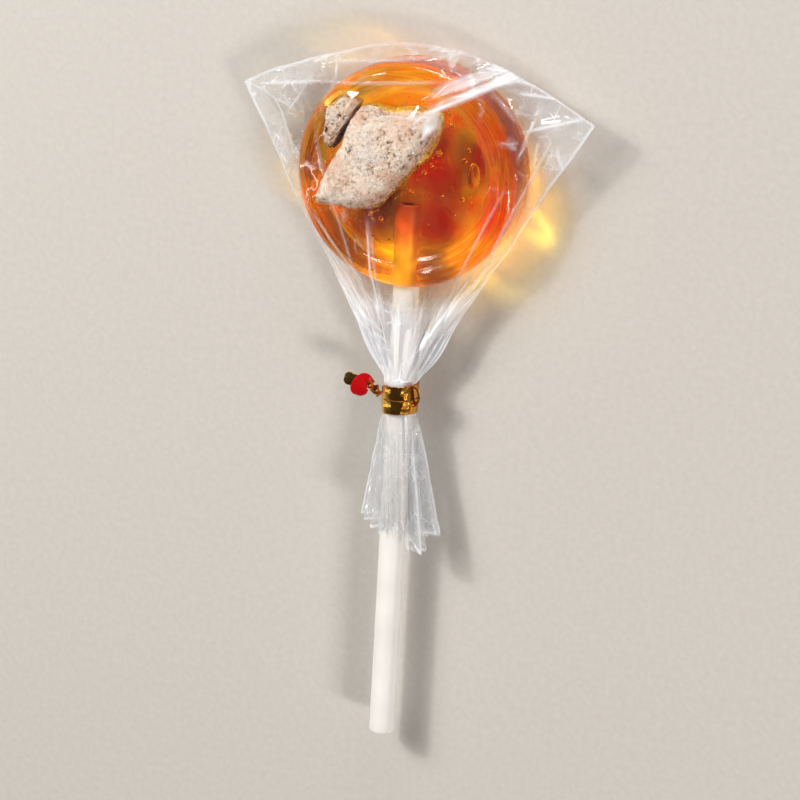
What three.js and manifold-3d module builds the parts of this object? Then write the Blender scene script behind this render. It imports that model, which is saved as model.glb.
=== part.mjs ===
// A wrapped lollipop: an amber disc of maltose candy with a salted plum set in its face, on a white
// tube stick, in a clear film bag that a gold tie gathers round the stick.
// It lies on its back. The candy's face looks up (+Z), the stick runs towards -Y, and z = 0 is the
// surface that it lies on. Lengths are in millimetres. Each sub-part is drawn about the middle of the
// candy disc, and one group moves them all so that the origin is under the middle of the whole.

import * as THREE from "three";
import { mergeVertices } from "three/addons/utils/BufferGeometryUtils.js";
import Module from "manifold-3d";

const wasm = await Module();
wasm.setup();

// Fit between neighbours, and the film's wall as a solid
const GAP = 0.3;
const FILM_WALL = 0.5;
const FILM_COVER = GAP + FILM_WALL;

// Candy disc: a flat back, an upright side, a rounded rim and a shallow recess inside the rim
const DISC_RADIUS = 20;
const DISC_HEIGHT = 10.5;
const DISC_BACK_Z = FILM_COVER;
const BACK_EDGE_RADIUS = 1.2;
const RIM_HALF_WIDTH = 2.3;
const RIM_OUTER_DROP = 2.2;
const RECESS_DEPTH = 1.8;
const DISC_SEGMENTS = 56;
const ARC_STEPS = 3;

// Stick: a plain tube, its upper end set in the candy
const STICK_RADIUS = 2.3;
const STICK_BORE_RADIUS = 1.1;
const STICK_LENGTH = 100;
const STICK_TOP_Y = -5.5;
const STICK_Z = 6;
const STICK_SEGMENTS = 24;
const STICK_END_Y = STICK_TOP_Y - STICK_LENGTH;

// Plum: two torn pieces of dried fruit. Each outline is a rounded polygon, given by the direction of
// each side's outward normal in degrees and its distance from the piece's middle.
const PLUM = {
  x: -5.4, y: 2.9, z: 7.9, halfHeight: 5.1, roundness: 14, segments: 32, rings: 14,
  sides: [[156, 7.0], [90, 8.4], [-11, 9.4], [-39, 6.0], [275, 9.1]],
  lumps: [[3, 0.015, 0.6], [7, 0.025, 2.1]],
};
const SLIVER = {
  x: -12.9, y: 8.9, z: 8.5, halfHeight: 3.8, roundness: 8, segments: 18, rings: 8,
  sides: [[178, 2.2], [128, 2.6], [61, 4.9], [-27, 1.85], [241, 5.4]],
  lumps: [[3, 0.04, 1.1], [5, 0.03, 0.3]],
};
const PLUM_BLUNTNESS = 0.4;
const PLUM_FLATNESS = 0.85;

// Film bag: a flat pouch over the candy, gathered to a round neck under the tie
const BAG_HALF_WIDTH = 33;
const BAG_CORNER_Y = 12.5;
const BAG_TOP_Y = 23.2;
const BAG_TOP_CURVE = 1.6;
const NECK_RADIUS = 3.05;
const NECK_Y = -37.9;
const CORNER_LIFT = 2.4;
const CORNER_DROP = 1.6;
const SEAM_HALF_THICKNESS = 0.3;
const SEAM_FALL = 1.3;
const BAG_RIM_HALF = 4.9;
const BAG_INNER_SINK = 1.6;
const RIDGE_FADE_FROM_Y = -21;
const RIDGE_FADE_TO_Y = -14;
const RIDGE_WIDTH_SHARE = 0.7;
const AROUND = 56;
const HEAD_STATIONS = 18;
const FOLD_COUNT = 9;
const FOLD_PHASE = 0.8;
const FOLD_DEPTH = 0.55;
const FOLD_FADE = 1.9;

// Film skirt: the pouch's open end, flared and pleated below the tie. Its cut edge is uneven: each pair
// is a direction round it in degrees, from the right over the upper side, and how far the edge stands
// above or below its mean there, with two long tips and a notch at the upper right.
const SKIRT_TOP_Y = -44.1;
const SKIRT_HEM_Y = -66;
const SKIRT_HEM = [
  [0, 0.6], [12, -0.6], [26, -3.6], [36, -1.2], [47, -3.2], [66, 2.6], [90, 0.4], [120, 0],
  [150, 1.2], [180, 2.6], [215, 0.8], [250, 0.4], [290, -0.8], [325, -1.4], [360, 0.6],
];
const SKIRT_HALF_WIDTH = 7.7;
const SKIRT_SHIFT = 1.2;
const SKIRT_HALF_HEIGHT = 5.3;
const SKIRT_FLARE = 0.85;
const SKIRT_STATIONS = 7;
const PLEAT_COUNT = 9;
const PLEAT_DEPTH = 0.3;
const SKIRT_WALL = 0.55;

// Tie: a foil ribbon wound twice round the neck, a little higher on the right, its two ends twisted
// together and then spread. At the right its inner end stands out as a loop.
const TIE_Y = (NECK_Y + SKIRT_TOP_Y) / 2;
const TIE_THICKNESS = 0.35;
const TIE_WIDTH = 2.5;
const TURN_GAP = 0.2;
const TIE_RADIUS = NECK_RADIUS + GAP + TIE_THICKNESS / 2;
const TIE_PITCH = TIE_WIDTH + TURN_GAP;
const TIE_GATHER = 0.9;
const TIE_SLANT = 0.35;
const TIE_STEPS = 36;
const STEM = { from: -4.1, to: -5.7, rise: 2.2, lift: 1.1, width: 1.8, thickness: 0.9 };
const STEM_TURNS = 1;
const STEM_STEPS = 12;
const TAIL_STEPS = 9;
const TAIL_OVERLAP = 0.8;
const LOOP = { turn: 28, y: 2.3, out: 1.2, halfLength: 1.7, width: 1.2, sweep: 144 };
const LOOP_STEPS = 10;

// The whole lies along Y from the film's top edge to the stick's free end
const DISC_Y = -(BAG_TOP_Y + STICK_END_Y) / 2;

const degrees = (angle) => (angle * Math.PI) / 180;
const mix = (a, b, t) => a + (b - a) * t;
const smooth = (low, high, x) => THREE.MathUtils.smoothstep(x, low, high);

// A closed three.js geometry as a solid that can be joined and cut.
function solidOf(geometry) {
  const bare = geometry.clone();
  bare.deleteAttribute("normal");
  bare.deleteAttribute("uv");
  const merged = mergeVertices(bare, 1e-4);
  return new wasm.Manifold(
    new wasm.Mesh({
      numProp: 3,
      vertProperties: new Float32Array(merged.attributes.position.array),
      triVerts: new Uint32Array(merged.index.array),
    }),
  );
}

function geometryOf(solid) {
  const mesh = solid.getMesh();
  const geometry = new THREE.BufferGeometry();
  geometry.setAttribute("position", new THREE.BufferAttribute(mesh.vertProperties, 3));
  geometry.setIndex(new THREE.BufferAttribute(mesh.triVerts, 1));
  geometry.computeVertexNormals();
  return geometry;
}

const joined = (solids) => solids.reduce((whole, next) => whole.add(next));

// A closed geometry through a row of loops with equal point counts. A strip between its upper and
// lower halves closes the first loop, and a fan from its middle closes the last.
function loft(loops) {
  const count = loops[0].length;
  const points = loops.flat();
  const index = [];
  for (let j = 0; j + 1 < loops.length; j++) {
    for (let i = 0; i < count; i++) {
      const a = j * count + i;
      const b = j * count + ((i + 1) % count);
      index.push(a, b, b + count, a, b + count, a + count);
    }
  }
  index.push(0, count - 1, 1);
  for (let i = 1; i + 1 < count / 2; i++) {
    index.push(i, count - i, i + 1);
    index.push(i + 1, count - i, count - i - 1);
  }
  index.push(count / 2 - 1, count / 2 + 1, count / 2);
  const last = (loops.length - 1) * count;
  const middle = loops.at(-1).reduce((sum, p) => sum.add(p), new THREE.Vector3());
  points.push(middle.divideScalar(count));
  for (let i = 0; i < count; i++) {
    index.push(last + i, last + ((i + 1) % count), points.length - 1);
  }
  const geometry = new THREE.BufferGeometry().setFromPoints(points);
  geometry.setIndex(index);
  return geometry;
}

// A ribbon as a closed body. Each station has a middle, half of its width and half of its thickness
// as vectors. A ring's last station joins its first.
function ribbon(stations, ring) {
  const points = stations.flatMap(({ middle, across, out }) => [
    middle.clone().add(across).add(out),
    middle.clone().sub(across).add(out),
    middle.clone().sub(across).sub(out),
    middle.clone().add(across).sub(out),
  ]);
  const index = [];
  const last = points.length - 4;
  for (let j = 0; j < (ring ? points.length : last); j += 4) {
    const next = j === last ? 0 : j + 4;
    for (let i = 0; i < 4; i++) {
      const k = (i + 1) % 4;
      index.push(j + i, next + k, j + k, j + i, next + i, next + k);
    }
  }
  if (!ring) {
    index.push(0, 1, 2, 0, 2, 3);
    index.push(last, last + 2, last + 1, last, last + 3, last + 2);
  }
  const geometry = new THREE.BufferGeometry().setFromPoints(points);
  geometry.setIndex(index);
  return geometry;
}

// The candy's half section, from the middle of its back to the middle of its face, grown by `grow`.
function discProfile(grow) {
  const bottom = DISC_BACK_Z - grow;
  const top = DISC_BACK_Z + DISC_HEIGHT + grow;
  const outer = DISC_RADIUS + grow;
  const edge = BACK_EDGE_RADIUS + grow;
  const rim = RIM_HALF_WIDTH + grow;
  const points = [new THREE.Vector2(0, bottom)];
  for (let i = 0; i <= ARC_STEPS; i++) {
    const angle = degrees(-90 + (90 * i) / ARC_STEPS);
    points.push(
      new THREE.Vector2(outer - edge + edge * Math.cos(angle), bottom + edge + edge * Math.sin(angle)),
    );
  }
  for (let i = 0; i <= 2 * ARC_STEPS; i++) {
    const angle = degrees((90 * i) / ARC_STEPS);
    const drop = i < ARC_STEPS ? RIM_OUTER_DROP + grow : RECESS_DEPTH;
    points.push(
      new THREE.Vector2(outer - rim + rim * Math.cos(angle), top - drop + drop * Math.sin(angle)),
    );
  }
  points.push(new THREE.Vector2(0, top - RECESS_DEPTH));
  return points;
}

function discSolid(grow) {
  const lathe = new THREE.LatheGeometry(discProfile(grow), DISC_SEGMENTS);
  lathe.rotateX(Math.PI / 2);
  return solidOf(lathe);
}

// How far a piece of plum, grown by `grow`, reaches from its middle in one direction: the soft least
// distance to its sides.
function outlineRadius(piece, angle, grow) {
  let sum = 0;
  for (const [normal, distance] of piece.sides) {
    const facing = Math.max(0, Math.cos(angle - degrees(normal)));
    sum += (facing / (distance + grow)) ** piece.roundness;
  }
  return sum ** (-1 / piece.roundness);
}

// A piece of plum, grown by `grow`: its outline drawn in towards top and bottom, with wrinkles.
function plumSolid(piece, grow) {
  const geometry = new THREE.SphereGeometry(1, piece.segments, piece.rings);
  geometry.rotateX(Math.PI / 2);
  const position = geometry.attributes.position;
  const p = new THREE.Vector3();
  for (let i = 0; i < position.count; i++) {
    p.fromBufferAttribute(position, i);
    const angle = Math.atan2(p.y, p.x);
    const level = Math.asin(THREE.MathUtils.clamp(p.z, -1, 1));
    const lump = piece.lumps.reduce(
      (sum, [waves, size, phase]) => sum + size * Math.sin(waves * angle + phase + 1.5 * level),
      1,
    );
    const reach = outlineRadius(piece, angle, grow) * lump * Math.cos(level) ** PLUM_BLUNTNESS;
    const height = (piece.halfHeight + grow) * Math.sign(p.z) * Math.abs(p.z) ** PLUM_FLATNESS;
    position.setXYZ(
      i,
      piece.x + reach * Math.cos(angle),
      piece.y + reach * Math.sin(angle),
      piece.z + height,
    );
  }
  return solidOf(geometry);
}

// A round bar along Y between two stations, on the stick's axis.
function barSolid(radius, fromY, toY) {
  const bar = new THREE.CylinderGeometry(radius, radius, Math.abs(toY - fromY), STICK_SEGMENTS);
  bar.translate(0, (fromY + toY) / 2, STICK_Z);
  return solidOf(bar);
}

const bagTopY = (side) => mix(BAG_TOP_Y, BAG_CORNER_Y, Math.abs(side) ** BAG_TOP_CURVE);

const bagEdgeX = (y) => mix(NECK_RADIUS, BAG_HALF_WIDTH, (y - NECK_Y) / (BAG_CORNER_Y - NECK_Y));

// Half of the bag's thickness. It leaves the candy's rim and falls to nothing at the seams. Inside the
// rim it stays below the candy's face, so that the film there is the face's own form. A round ridge
// over the stick meets the neck.
function bagHalfThickness(x, y, side) {
  const slope = Math.hypot(BAG_HALF_WIDTH - NECK_RADIUS, BAG_CORNER_Y - NECK_Y);
  const toSide = ((bagEdgeX(y) - Math.abs(x)) * (BAG_CORNER_Y - NECK_Y)) / slope;
  const toTop = bagTopY(x / BAG_HALF_WIDTH) - y;
  const toSeam = Math.max(1e-3, Math.min(toSide, toTop));
  const fromMiddle = Math.hypot(x, y);
  const beyond = Math.max(0, fromMiddle - DISC_RADIUS);
  const inside = 1 - smooth(DISC_RADIUS - RIM_HALF_WIDTH, DISC_RADIUS, fromMiddle);
  const fall = (toSeam / (beyond + toSeam)) ** SEAM_FALL;
  const overDisc = (BAG_RIM_HALF - BAG_INNER_SINK * inside) * fall;
  const nearDisc = smooth(NECK_Y, -DISC_RADIUS, y);
  const ridgeHalfWidth = bagEdgeX(y) * mix(1, RIDGE_WIDTH_SHARE, nearDisc);
  const ridgeFade = 1 - smooth(RIDGE_FADE_FROM_Y, RIDGE_FADE_TO_Y, y);
  const ridgeHeight = mix(NECK_RADIUS, BAG_RIM_HALF, nearDisc) * ridgeFade;
  const overStick = ridgeHeight * Math.sqrt(Math.max(0, 1 - (x / ridgeHalfWidth) ** 2));
  const body = Math.cbrt(overDisc ** 3 + overStick ** 3);
  return Math.max(body, SEAM_HALF_THICKNESS * Math.sqrt(Math.max(0, 1 - side * side)));
}

// One loop round the bag, at a share of the way from the neck (0) to the top seam (1).
function bagLoop(share) {
  const loop = [];
  for (let i = 0; i < AROUND; i++) {
    const turn = (2 * Math.PI * i) / AROUND;
    const side = Math.cos(turn);
    const x = side * mix(NECK_RADIUS, BAG_HALF_WIDTH, share);
    const y = mix(NECK_Y, bagTopY(side), share);
    const lift = (side > 0 ? CORNER_LIFT : -CORNER_DROP) * side ** 4 * share ** 3;
    const foldReach = Math.sin(Math.PI * Math.min(1, share * FOLD_FADE)) * Math.abs(Math.sin(turn));
    const fold = FOLD_DEPTH * foldReach * Math.abs(Math.sin((FOLD_COUNT * turn) / 2 + FOLD_PHASE));
    const atSide = i === 0 || i === AROUND / 2;
    const ply = atSide ? 0 : Math.sign(Math.sin(turn));
    const z = STICK_Z + lift + ply * (bagHalfThickness(x, y, side) + fold);
    loop.push(new THREE.Vector3(x, y, Math.max(z, GAP)));
  }
  return loop;
}

// How far the cut edge stands from its mean in a direction: straight from one pair to the next.
function hemStep(direction) {
  const next = SKIRT_HEM.findIndex(([at]) => at > direction);
  const [[from, first], [to, second]] = [SKIRT_HEM[next - 1], SKIRT_HEM[next]];
  return mix(first, second, (direction - from) / (to - from));
}

// One loop round the skirt, at a share of the way from the tie (0) to the hem (1).
function skirtLoop(share, inset) {
  const loop = [];
  const flare = share ** SKIRT_FLARE;
  const halfWidth = mix(NECK_RADIUS, SKIRT_HALF_WIDTH, flare);
  const halfHeight = mix(NECK_RADIUS, SKIRT_HALF_HEIGHT, flare);
  for (let i = 0; i < AROUND; i++) {
    const turn = (2 * Math.PI * i) / AROUND;
    const round = 1 / Math.hypot(Math.cos(turn) / halfWidth, Math.sin(turn) / halfHeight);
    const pleat = PLEAT_DEPTH * flare * (0.5 - 0.5 * Math.cos(PLEAT_COUNT * turn + 0.7));
    const radius = round * (1 - pleat) - inset;
    const hemY = SKIRT_HEM_Y + hemStep((360 * i) / AROUND);
    loop.push(
      new THREE.Vector3(
        radius * Math.cos(turn) + SKIRT_SHIFT * flare,
        mix(SKIRT_TOP_Y, hemY, share),
        STICK_Z + radius * Math.sin(turn),
      ),
    );
  }
  return loop;
}

// The film: the pouch, its neck and its skirt in one, hollow where the candy, plum and stick are.
function filmSolid() {
  const loops = [];
  for (let j = 0; j <= HEAD_STATIONS; j++) {
    loops.push(bagLoop(1 - j / HEAD_STATIONS));
  }
  for (let j = 0; j <= SKIRT_STATIONS; j++) {
    loops.push(skirtLoop(j / SKIRT_STATIONS, 0));
  }
  const inside = [];
  for (let j = 0; j <= SKIRT_STATIONS + 2; j++) {
    inside.push(skirtLoop(j / SKIRT_STATIONS, SKIRT_WALL));
  }
  const outer = joined([
    solidOf(loft(loops)),
    discSolid(FILM_COVER),
    plumSolid(PLUM, FILM_COVER),
    plumSolid(SLIVER, FILM_COVER),
  ]);
  return outer
    .subtract(discSolid(GAP))
    .subtract(plumSolid(PLUM, GAP))
    .subtract(plumSolid(SLIVER, GAP))
    .subtract(barSolid(STICK_RADIUS + GAP, STICK_TOP_Y, STICK_END_Y))
    .subtract(solidOf(loft(inside)));
}

// The candy: the disc with a pocket for each piece of plum and a socket for the stick.
function candySolid() {
  return discSolid(0)
    .subtract(plumSolid(PLUM, GAP))
    .subtract(plumSolid(SLIVER, GAP))
    .subtract(barSolid(STICK_RADIUS + GAP, STICK_TOP_Y + GAP, -2 * DISC_RADIUS));
}

function stickGeometry() {
  const profile = [
    new THREE.Vector2(STICK_BORE_RADIUS, 0),
    new THREE.Vector2(STICK_RADIUS, 0),
    new THREE.Vector2(STICK_RADIUS, STICK_LENGTH),
    new THREE.Vector2(STICK_BORE_RADIUS, STICK_LENGTH),
    new THREE.Vector2(STICK_BORE_RADIUS, 0),
  ];
  return new THREE.LatheGeometry(profile, STICK_SEGMENTS);
}

// One turn of the tie's band round the neck. It stands `offset` along the neck from the other turn's
// middle, and both turns draw together on the left, where the ends are twisted.
function tieTurn(offset) {
  const stations = [];
  for (let i = 0; i < TIE_STEPS; i++) {
    const turn = (2 * Math.PI * i) / TIE_STEPS;
    const out = new THREE.Vector3(Math.cos(turn), 0, Math.sin(turn));
    const spread = smooth(0, TIE_GATHER, Math.abs(turn - Math.PI));
    stations.push({
      middle: new THREE.Vector3(0, offset * spread + TIE_SLANT * out.x, 0).addScaledVector(out, TIE_RADIUS),
      across: new THREE.Vector3(0, TIE_WIDTH / 2, 0),
      out: out.clone().multiplyScalar(TIE_THICKNESS / 2),
    });
  }
  return ribbon(stations, true);
}

// Directions across a ribbon and out of its face, where it runs `along` and is rolled about its run.
function ribbonFrame(along, roll) {
  const level = new THREE.Vector3(0, 0, 1).cross(along).normalize();
  const across = level.applyAxisAngle(along, roll).multiplyScalar(-1);
  return { across, out: new THREE.Vector3().crossVectors(across, along).normalize() };
}

// The tie's stem: both ends of the ribbon twisted into one short cord.
function tieStem() {
  const start = new THREE.Vector3(STEM.from, 0, 0);
  const run = new THREE.Vector3(STEM.to, STEM.rise, STEM.lift).sub(start);
  const stations = [];
  for (let i = 0; i <= STEM_STEPS; i++) {
    const share = i / STEM_STEPS;
    const { across, out } = ribbonFrame(run.clone().normalize(), 2 * Math.PI * STEM_TURNS * share);
    stations.push({
      middle: start.clone().addScaledVector(run, share),
      across: across.multiplyScalar(STEM.width / 2),
      out: out.multiplyScalar(STEM.thickness / 2),
    });
  }
  return ribbon(stations, false);
}

// One loose end of the tie. It starts inside the stem, turned by `roll` about its own length, and
// curves over a bend to its tip, both given as steps from the stem's end.
function tieTail(bend, tip, roll, endWidth) {
  const end = new THREE.Vector3(STEM.to, STEM.rise, STEM.lift);
  const path = new THREE.QuadraticBezierCurve3(
    end.clone().add(new THREE.Vector3(TAIL_OVERLAP, 0, 0)),
    end.clone().add(new THREE.Vector3(...bend)),
    end.clone().add(new THREE.Vector3(...tip)),
  );
  const stations = [];
  for (let i = 0; i <= TAIL_STEPS; i++) {
    const share = i / TAIL_STEPS;
    const { across, out } = ribbonFrame(path.getTangent(share), roll * (1 - share));
    const width = mix(STEM.width, endWidth, smooth(0, 0.5, share));
    stations.push({
      middle: path.getPoint(share),
      across: across.multiplyScalar(width / 2),
      out: out.multiplyScalar(TIE_THICKNESS / 2),
    });
  }
  return ribbon(stations, false);
}

// The tie's inner end: half a hoop that leaves the upper turn outwards and comes back past its edge.
// Its width lies along the turn.
function tieLoop() {
  const outwards = new THREE.Vector3(Math.cos(degrees(LOOP.turn)), 0, Math.sin(degrees(LOOP.turn)));
  const across = new THREE.Vector3(-outwards.z, 0, outwards.x);
  const stations = [];
  for (let i = 0; i <= LOOP_STEPS; i++) {
    const bend = degrees((LOOP.sweep * i) / LOOP_STEPS);
    const middle = outwards.clone().multiplyScalar(TIE_RADIUS + LOOP.out * Math.sin(bend));
    middle.y = LOOP.y - LOOP.halfLength * Math.cos(bend);
    const along = outwards.clone().multiplyScalar(LOOP.out * Math.cos(bend));
    along.y = LOOP.halfLength * Math.sin(bend);
    stations.push({
      middle,
      across: across.clone().multiplyScalar(LOOP.width / 2),
      out: new THREE.Vector3().crossVectors(across, along).normalize().multiplyScalar(TIE_THICKNESS / 2),
    });
  }
  return ribbon(stations, false);
}

function tieGeometry() {
  const pieces = [
    tieTurn(TIE_PITCH / 2),
    tieTurn(-TIE_PITCH / 2),
    tieStem(),
    tieTail([-2.2, 0.1, 0.3], [-4.5, 0.4, 0.3], 0.8, 2.4),
    tieTail([-0.7, 1.6, 1.8], [-1.8, -2.4, 1.0], -0.6, 3.3),
    tieLoop(),
  ];
  return geometryOf(joined(pieces.map(solidOf)));
}

// Materials, with the colours of the real thing
const materials = {
  candy: new THREE.MeshStandardMaterial({
    color: 0xd98a1e, roughness: 0.05, metalness: 0, transparent: true, opacity: 0.75,
  }),
  plum: new THREE.MeshStandardMaterial({ color: 0xd8cbc2, roughness: 0.95, metalness: 0 }),
  stick: new THREE.MeshStandardMaterial({ color: 0xf4f1f1, roughness: 0.45, metalness: 0 }),
  film: new THREE.MeshStandardMaterial({
    color: 0xf2f2ee, roughness: 0.08, metalness: 0, transparent: true, opacity: 0.25,
  }),
  foil: new THREE.MeshStandardMaterial({ color: 0xd9981f, roughness: 0.25, metalness: 1 }),
};

function piece(name, geometry, material) {
  const mesh = new THREE.Mesh(geometry, material);
  mesh.name = name;
  return mesh;
}

const candy = piece("candy_disc", geometryOf(candySolid()), materials.candy);
const plum = piece("plum_piece", geometryOf(plumSolid(PLUM, 0)), materials.plum);
const sliver = piece("plum_sliver", geometryOf(plumSolid(SLIVER, 0)), materials.plum);

const stick = piece("stick", stickGeometry(), materials.stick);
stick.position.set(0, STICK_END_Y, STICK_Z);

const film = piece("film_bag", geometryOf(filmSolid()), materials.film);

const tie = piece("twist_tie", tieGeometry(), materials.foil);
tie.position.set(0, TIE_Y, STICK_Z);

const lollipop = new THREE.Group();
lollipop.add(candy, plum, sliver, stick, film, tie);
lollipop.position.y = DISC_Y;

const group = new THREE.Group();
group.add(lollipop);

export default group;
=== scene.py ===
# %% [markdown]
# # A wrapped salted plum lollipop
# The real thing is hard maltose candy, poured round a stick into a round mould with pieces of salted
# plum laid in its face. A clear film bag is pulled over it and gathered round the stick with a foil
# twist tie. It lies on its back here, its face up, on a pale table.
# Each piece is a surface worked out with numpy: a grid of points given by a formula in two numbers.
# Shapes are written in millimetres about the middle of the candy disc, because that is the centre
# that everything is built round, and they become metres when the mesh is made.

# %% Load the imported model
import itertools
import math

import bpy
import numpy as np
from mathutils import Matrix, Vector


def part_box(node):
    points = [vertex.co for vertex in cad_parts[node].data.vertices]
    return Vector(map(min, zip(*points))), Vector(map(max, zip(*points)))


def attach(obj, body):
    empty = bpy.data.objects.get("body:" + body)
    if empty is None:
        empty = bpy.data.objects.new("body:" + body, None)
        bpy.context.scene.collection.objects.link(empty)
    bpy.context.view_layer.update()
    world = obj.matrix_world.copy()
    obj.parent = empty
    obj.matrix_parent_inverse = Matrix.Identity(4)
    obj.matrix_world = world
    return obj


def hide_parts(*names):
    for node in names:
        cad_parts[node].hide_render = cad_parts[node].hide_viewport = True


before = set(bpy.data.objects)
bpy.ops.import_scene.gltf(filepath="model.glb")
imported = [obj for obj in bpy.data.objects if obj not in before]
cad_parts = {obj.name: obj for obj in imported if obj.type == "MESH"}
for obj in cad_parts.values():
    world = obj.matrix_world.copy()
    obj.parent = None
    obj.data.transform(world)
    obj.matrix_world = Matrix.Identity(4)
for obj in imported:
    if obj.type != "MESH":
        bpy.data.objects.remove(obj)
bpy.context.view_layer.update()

MM = 0.001

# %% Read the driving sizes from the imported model
disc_low, disc_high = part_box("candy_disc")
stick_low, stick_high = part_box("stick")

DISC_MIDDLE_Y = (disc_low.y + disc_high.y) / 2 / MM
DISC_RADIUS = (disc_high.x - disc_low.x) / 2 / MM
BACK_Z = disc_low.z / MM
RIM_Z = disc_high.z / MM
STICK_RADIUS = (stick_high.x - stick_low.x) / 2 / MM
STICK_Z = (stick_high.z + stick_low.z) / 2 / MM
STICK_TOP_Y = stick_high.y / MM - DISC_MIDDLE_Y
STICK_END_Y = stick_low.y / MM - DISC_MIDDLE_Y
print(f"disc radius {DISC_RADIUS:.1f}, back {BACK_Z:.1f}, rim {RIM_Z:.1f}, stick {STICK_RADIUS:.1f} mm")

# %% [markdown]
# ## Meshes from grids
# A grid of points needs two things to become a mesh: the points as one long list, and the quads that
# join neighbours. Blender takes both as whole arrays with foreach_set, which is far faster than
# adding vertices one by one. A shape that closes at a pole gets one point there and a ring of
# triangles, so that no face has two corners in one place.

# %% Join the points of a grid
def full_turn(count):
    """Angles in radians all the way round, an even way apart, as one row."""
    return np.linspace(0, 2 * math.pi, count, endpoint=False)[None, :]


def grid_quads(rows, columns, loop=False):
    """Quads between the rows of a grid whose last column joins its first. Loop also joins its last
    row to its first."""
    row = np.arange(rows if loop else rows - 1)[:, None]
    column = np.arange(columns)[None, :]
    next_row = (row + 1) % rows * columns
    next_column = (column + 1) % columns
    row = row * columns
    corners = [row + column, row + next_column, next_row + next_column, next_row + column]
    return np.stack(corners, -1).reshape(-1, 4)


def pole_triangles(ring_start, columns, pole, rising):
    """Triangles from a pole to the ring next to it. They turn the other way where the ring comes first."""
    column = np.arange(columns)
    here = ring_start + column
    beside = ring_start + (column + 1) % columns
    middle = np.full(columns, pole)
    return np.stack([middle, beside, here] if rising else [middle, here, beside], -1)


def closed_faces(rows, columns):
    """Faces of rings that close in a pole at both ends: quads and two fans of triangles. The poles
    come after the rings, the one beside the first ring first."""
    last = rows * columns
    return [
        grid_quads(rows, columns),
        pole_triangles(0, columns, last, rising=True),
        pole_triangles(last - columns, columns, last + 1, rising=False),
    ]


# %% Turn points and faces into a piece
def make_piece(name, points, faces, material, stands_for=()):
    """A smooth mesh piece from points in mm about the candy's middle, and a list of face arrays."""
    mesh = bpy.data.meshes.new(name)
    place = (np.asarray(points, float).reshape(-1, 3) + [0, DISC_MIDDLE_Y, 0]) * MM
    corners = np.concatenate([face.ravel() for face in faces])
    sizes = np.concatenate([np.full(len(face), face.shape[1]) for face in faces])
    starts = np.concatenate([[0], np.cumsum(sizes)[:-1]])
    mesh.vertices.add(len(place))
    mesh.vertices.foreach_set("co", place.ravel())
    mesh.loops.add(len(corners))
    mesh.loops.foreach_set("vertex_index", corners.astype(np.int32))
    mesh.polygons.add(len(sizes))
    mesh.polygons.foreach_set("loop_start", starts.astype(np.int32))
    mesh.update(calc_edges=True)
    mesh.polygons.foreach_set("use_smooth", np.ones(len(sizes), bool))
    mesh.materials.append(material)
    piece = bpy.data.objects.new(name, mesh)
    bpy.context.scene.collection.objects.link(piece)
    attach(piece, "root")
    if stands_for:
        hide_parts(*stands_for)
    triangles = int(np.sum(sizes - 2))
    print(f"{name}: {len(place)} points, {triangles} triangles")
    return piece


# %% Keep a number for every point, for the materials to read
def paint(piece, name, values):
    """Stores one number per point of the piece's mesh under that name."""
    layer = piece.data.attributes.new(name, "FLOAT", "POINT")
    layer.data.foreach_set("value", np.asarray(values, np.float32).ravel())


# %% [markdown]
# ## Unevenness
# Nothing here is machined: the candy was poured, the plum is dried fruit and the film is crumpled.
# Their unevenness comes from value noise: random numbers on a lattice, blended smoothly in between.
# Several sizes of it added together give a rough surface. The lattice is seeded, so every run gives
# the same shapes.

# %% Noise in three dimensions
LATTICE = 32


def noise(x, y, z, size, seed):
    """Smooth noise from -1 to 1: random numbers on a lattice with cells of that size in mm, each
    point taking the mean of its cell's eight corners weighted by how near they are. The lattice
    repeats, and the point is moved on by eight whole ones so that its cell's number is above zero."""
    lattice = np.random.default_rng(seed).uniform(-1, 1, (LATTICE,) * 3)
    place = np.stack(np.broadcast_arrays(x, y, z), -1) / size + 8 * LATTICE
    cell = np.floor(place).astype(int)
    share = place - cell
    share = share * share * (3 - 2 * share)
    total = 0.0
    for corner in itertools.product((0, 1), repeat=3):
        weight = np.prod(np.where(corner, share, 1 - share), -1)
        index = (cell + corner) % LATTICE
        total = total + weight * lattice[index[..., 0], index[..., 1], index[..., 2]]
    return total


def rough(x, y, z, size, octaves, seed):
    """Noise of one size plus finer ones, each half as large and half as strong as the one before."""
    return sum(0.5**k * noise(x, y, z, size / 2**k, seed + k) for k in range(octaves))


def smooth(low, high, x):
    """Rises from 0 at low to 1 at high along an S: 3t squared minus 2t cubed."""
    t = np.clip((x - low) / (high - low), 0, 1)
    return t * t * (3 - 2 * t)


def mix(a, b, t):
    """The value a share t of the way from a to b."""
    return a + (b - a) * t


# %% [markdown]
# ## Materials
# A material is a small network of nodes. One function adds a node with its settings, inputs and
# links, and another turns a colour written as sRGB hex into the linear values that Blender
# calculates with. Object coordinates are in metres, so a texture's Scale is the number of its cells
# in a metre. A third function works it out from the width of one mark in millimetres. A narrow mark
# is measured best by counting: where 17 grains of powder lie side by side in 10 mm, one is 10 / 17 mm
# wide.

# %% Colours and nodes
def colour(hex_code):
    """Linear red, green, blue and alpha of an sRGB hex colour."""
    values = [int(hex_code[k : k + 2], 16) / 255 for k in (1, 3, 5)]
    return [v / 12.92 if v <= 0.04045 else ((v + 0.055) / 1.055) ** 2.4 for v in values] + [1.0]


def pattern_scale(width):
    """Scale of a pattern whose marks are that many mm wide, for coordinates in metres."""
    return 1 / (width * MM)


def new_material(name):
    """An empty material of that name, and its node tree."""
    material = bpy.data.materials.new(name)
    material.use_nodes = True
    material.node_tree.nodes.clear()
    return material, material.node_tree


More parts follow.
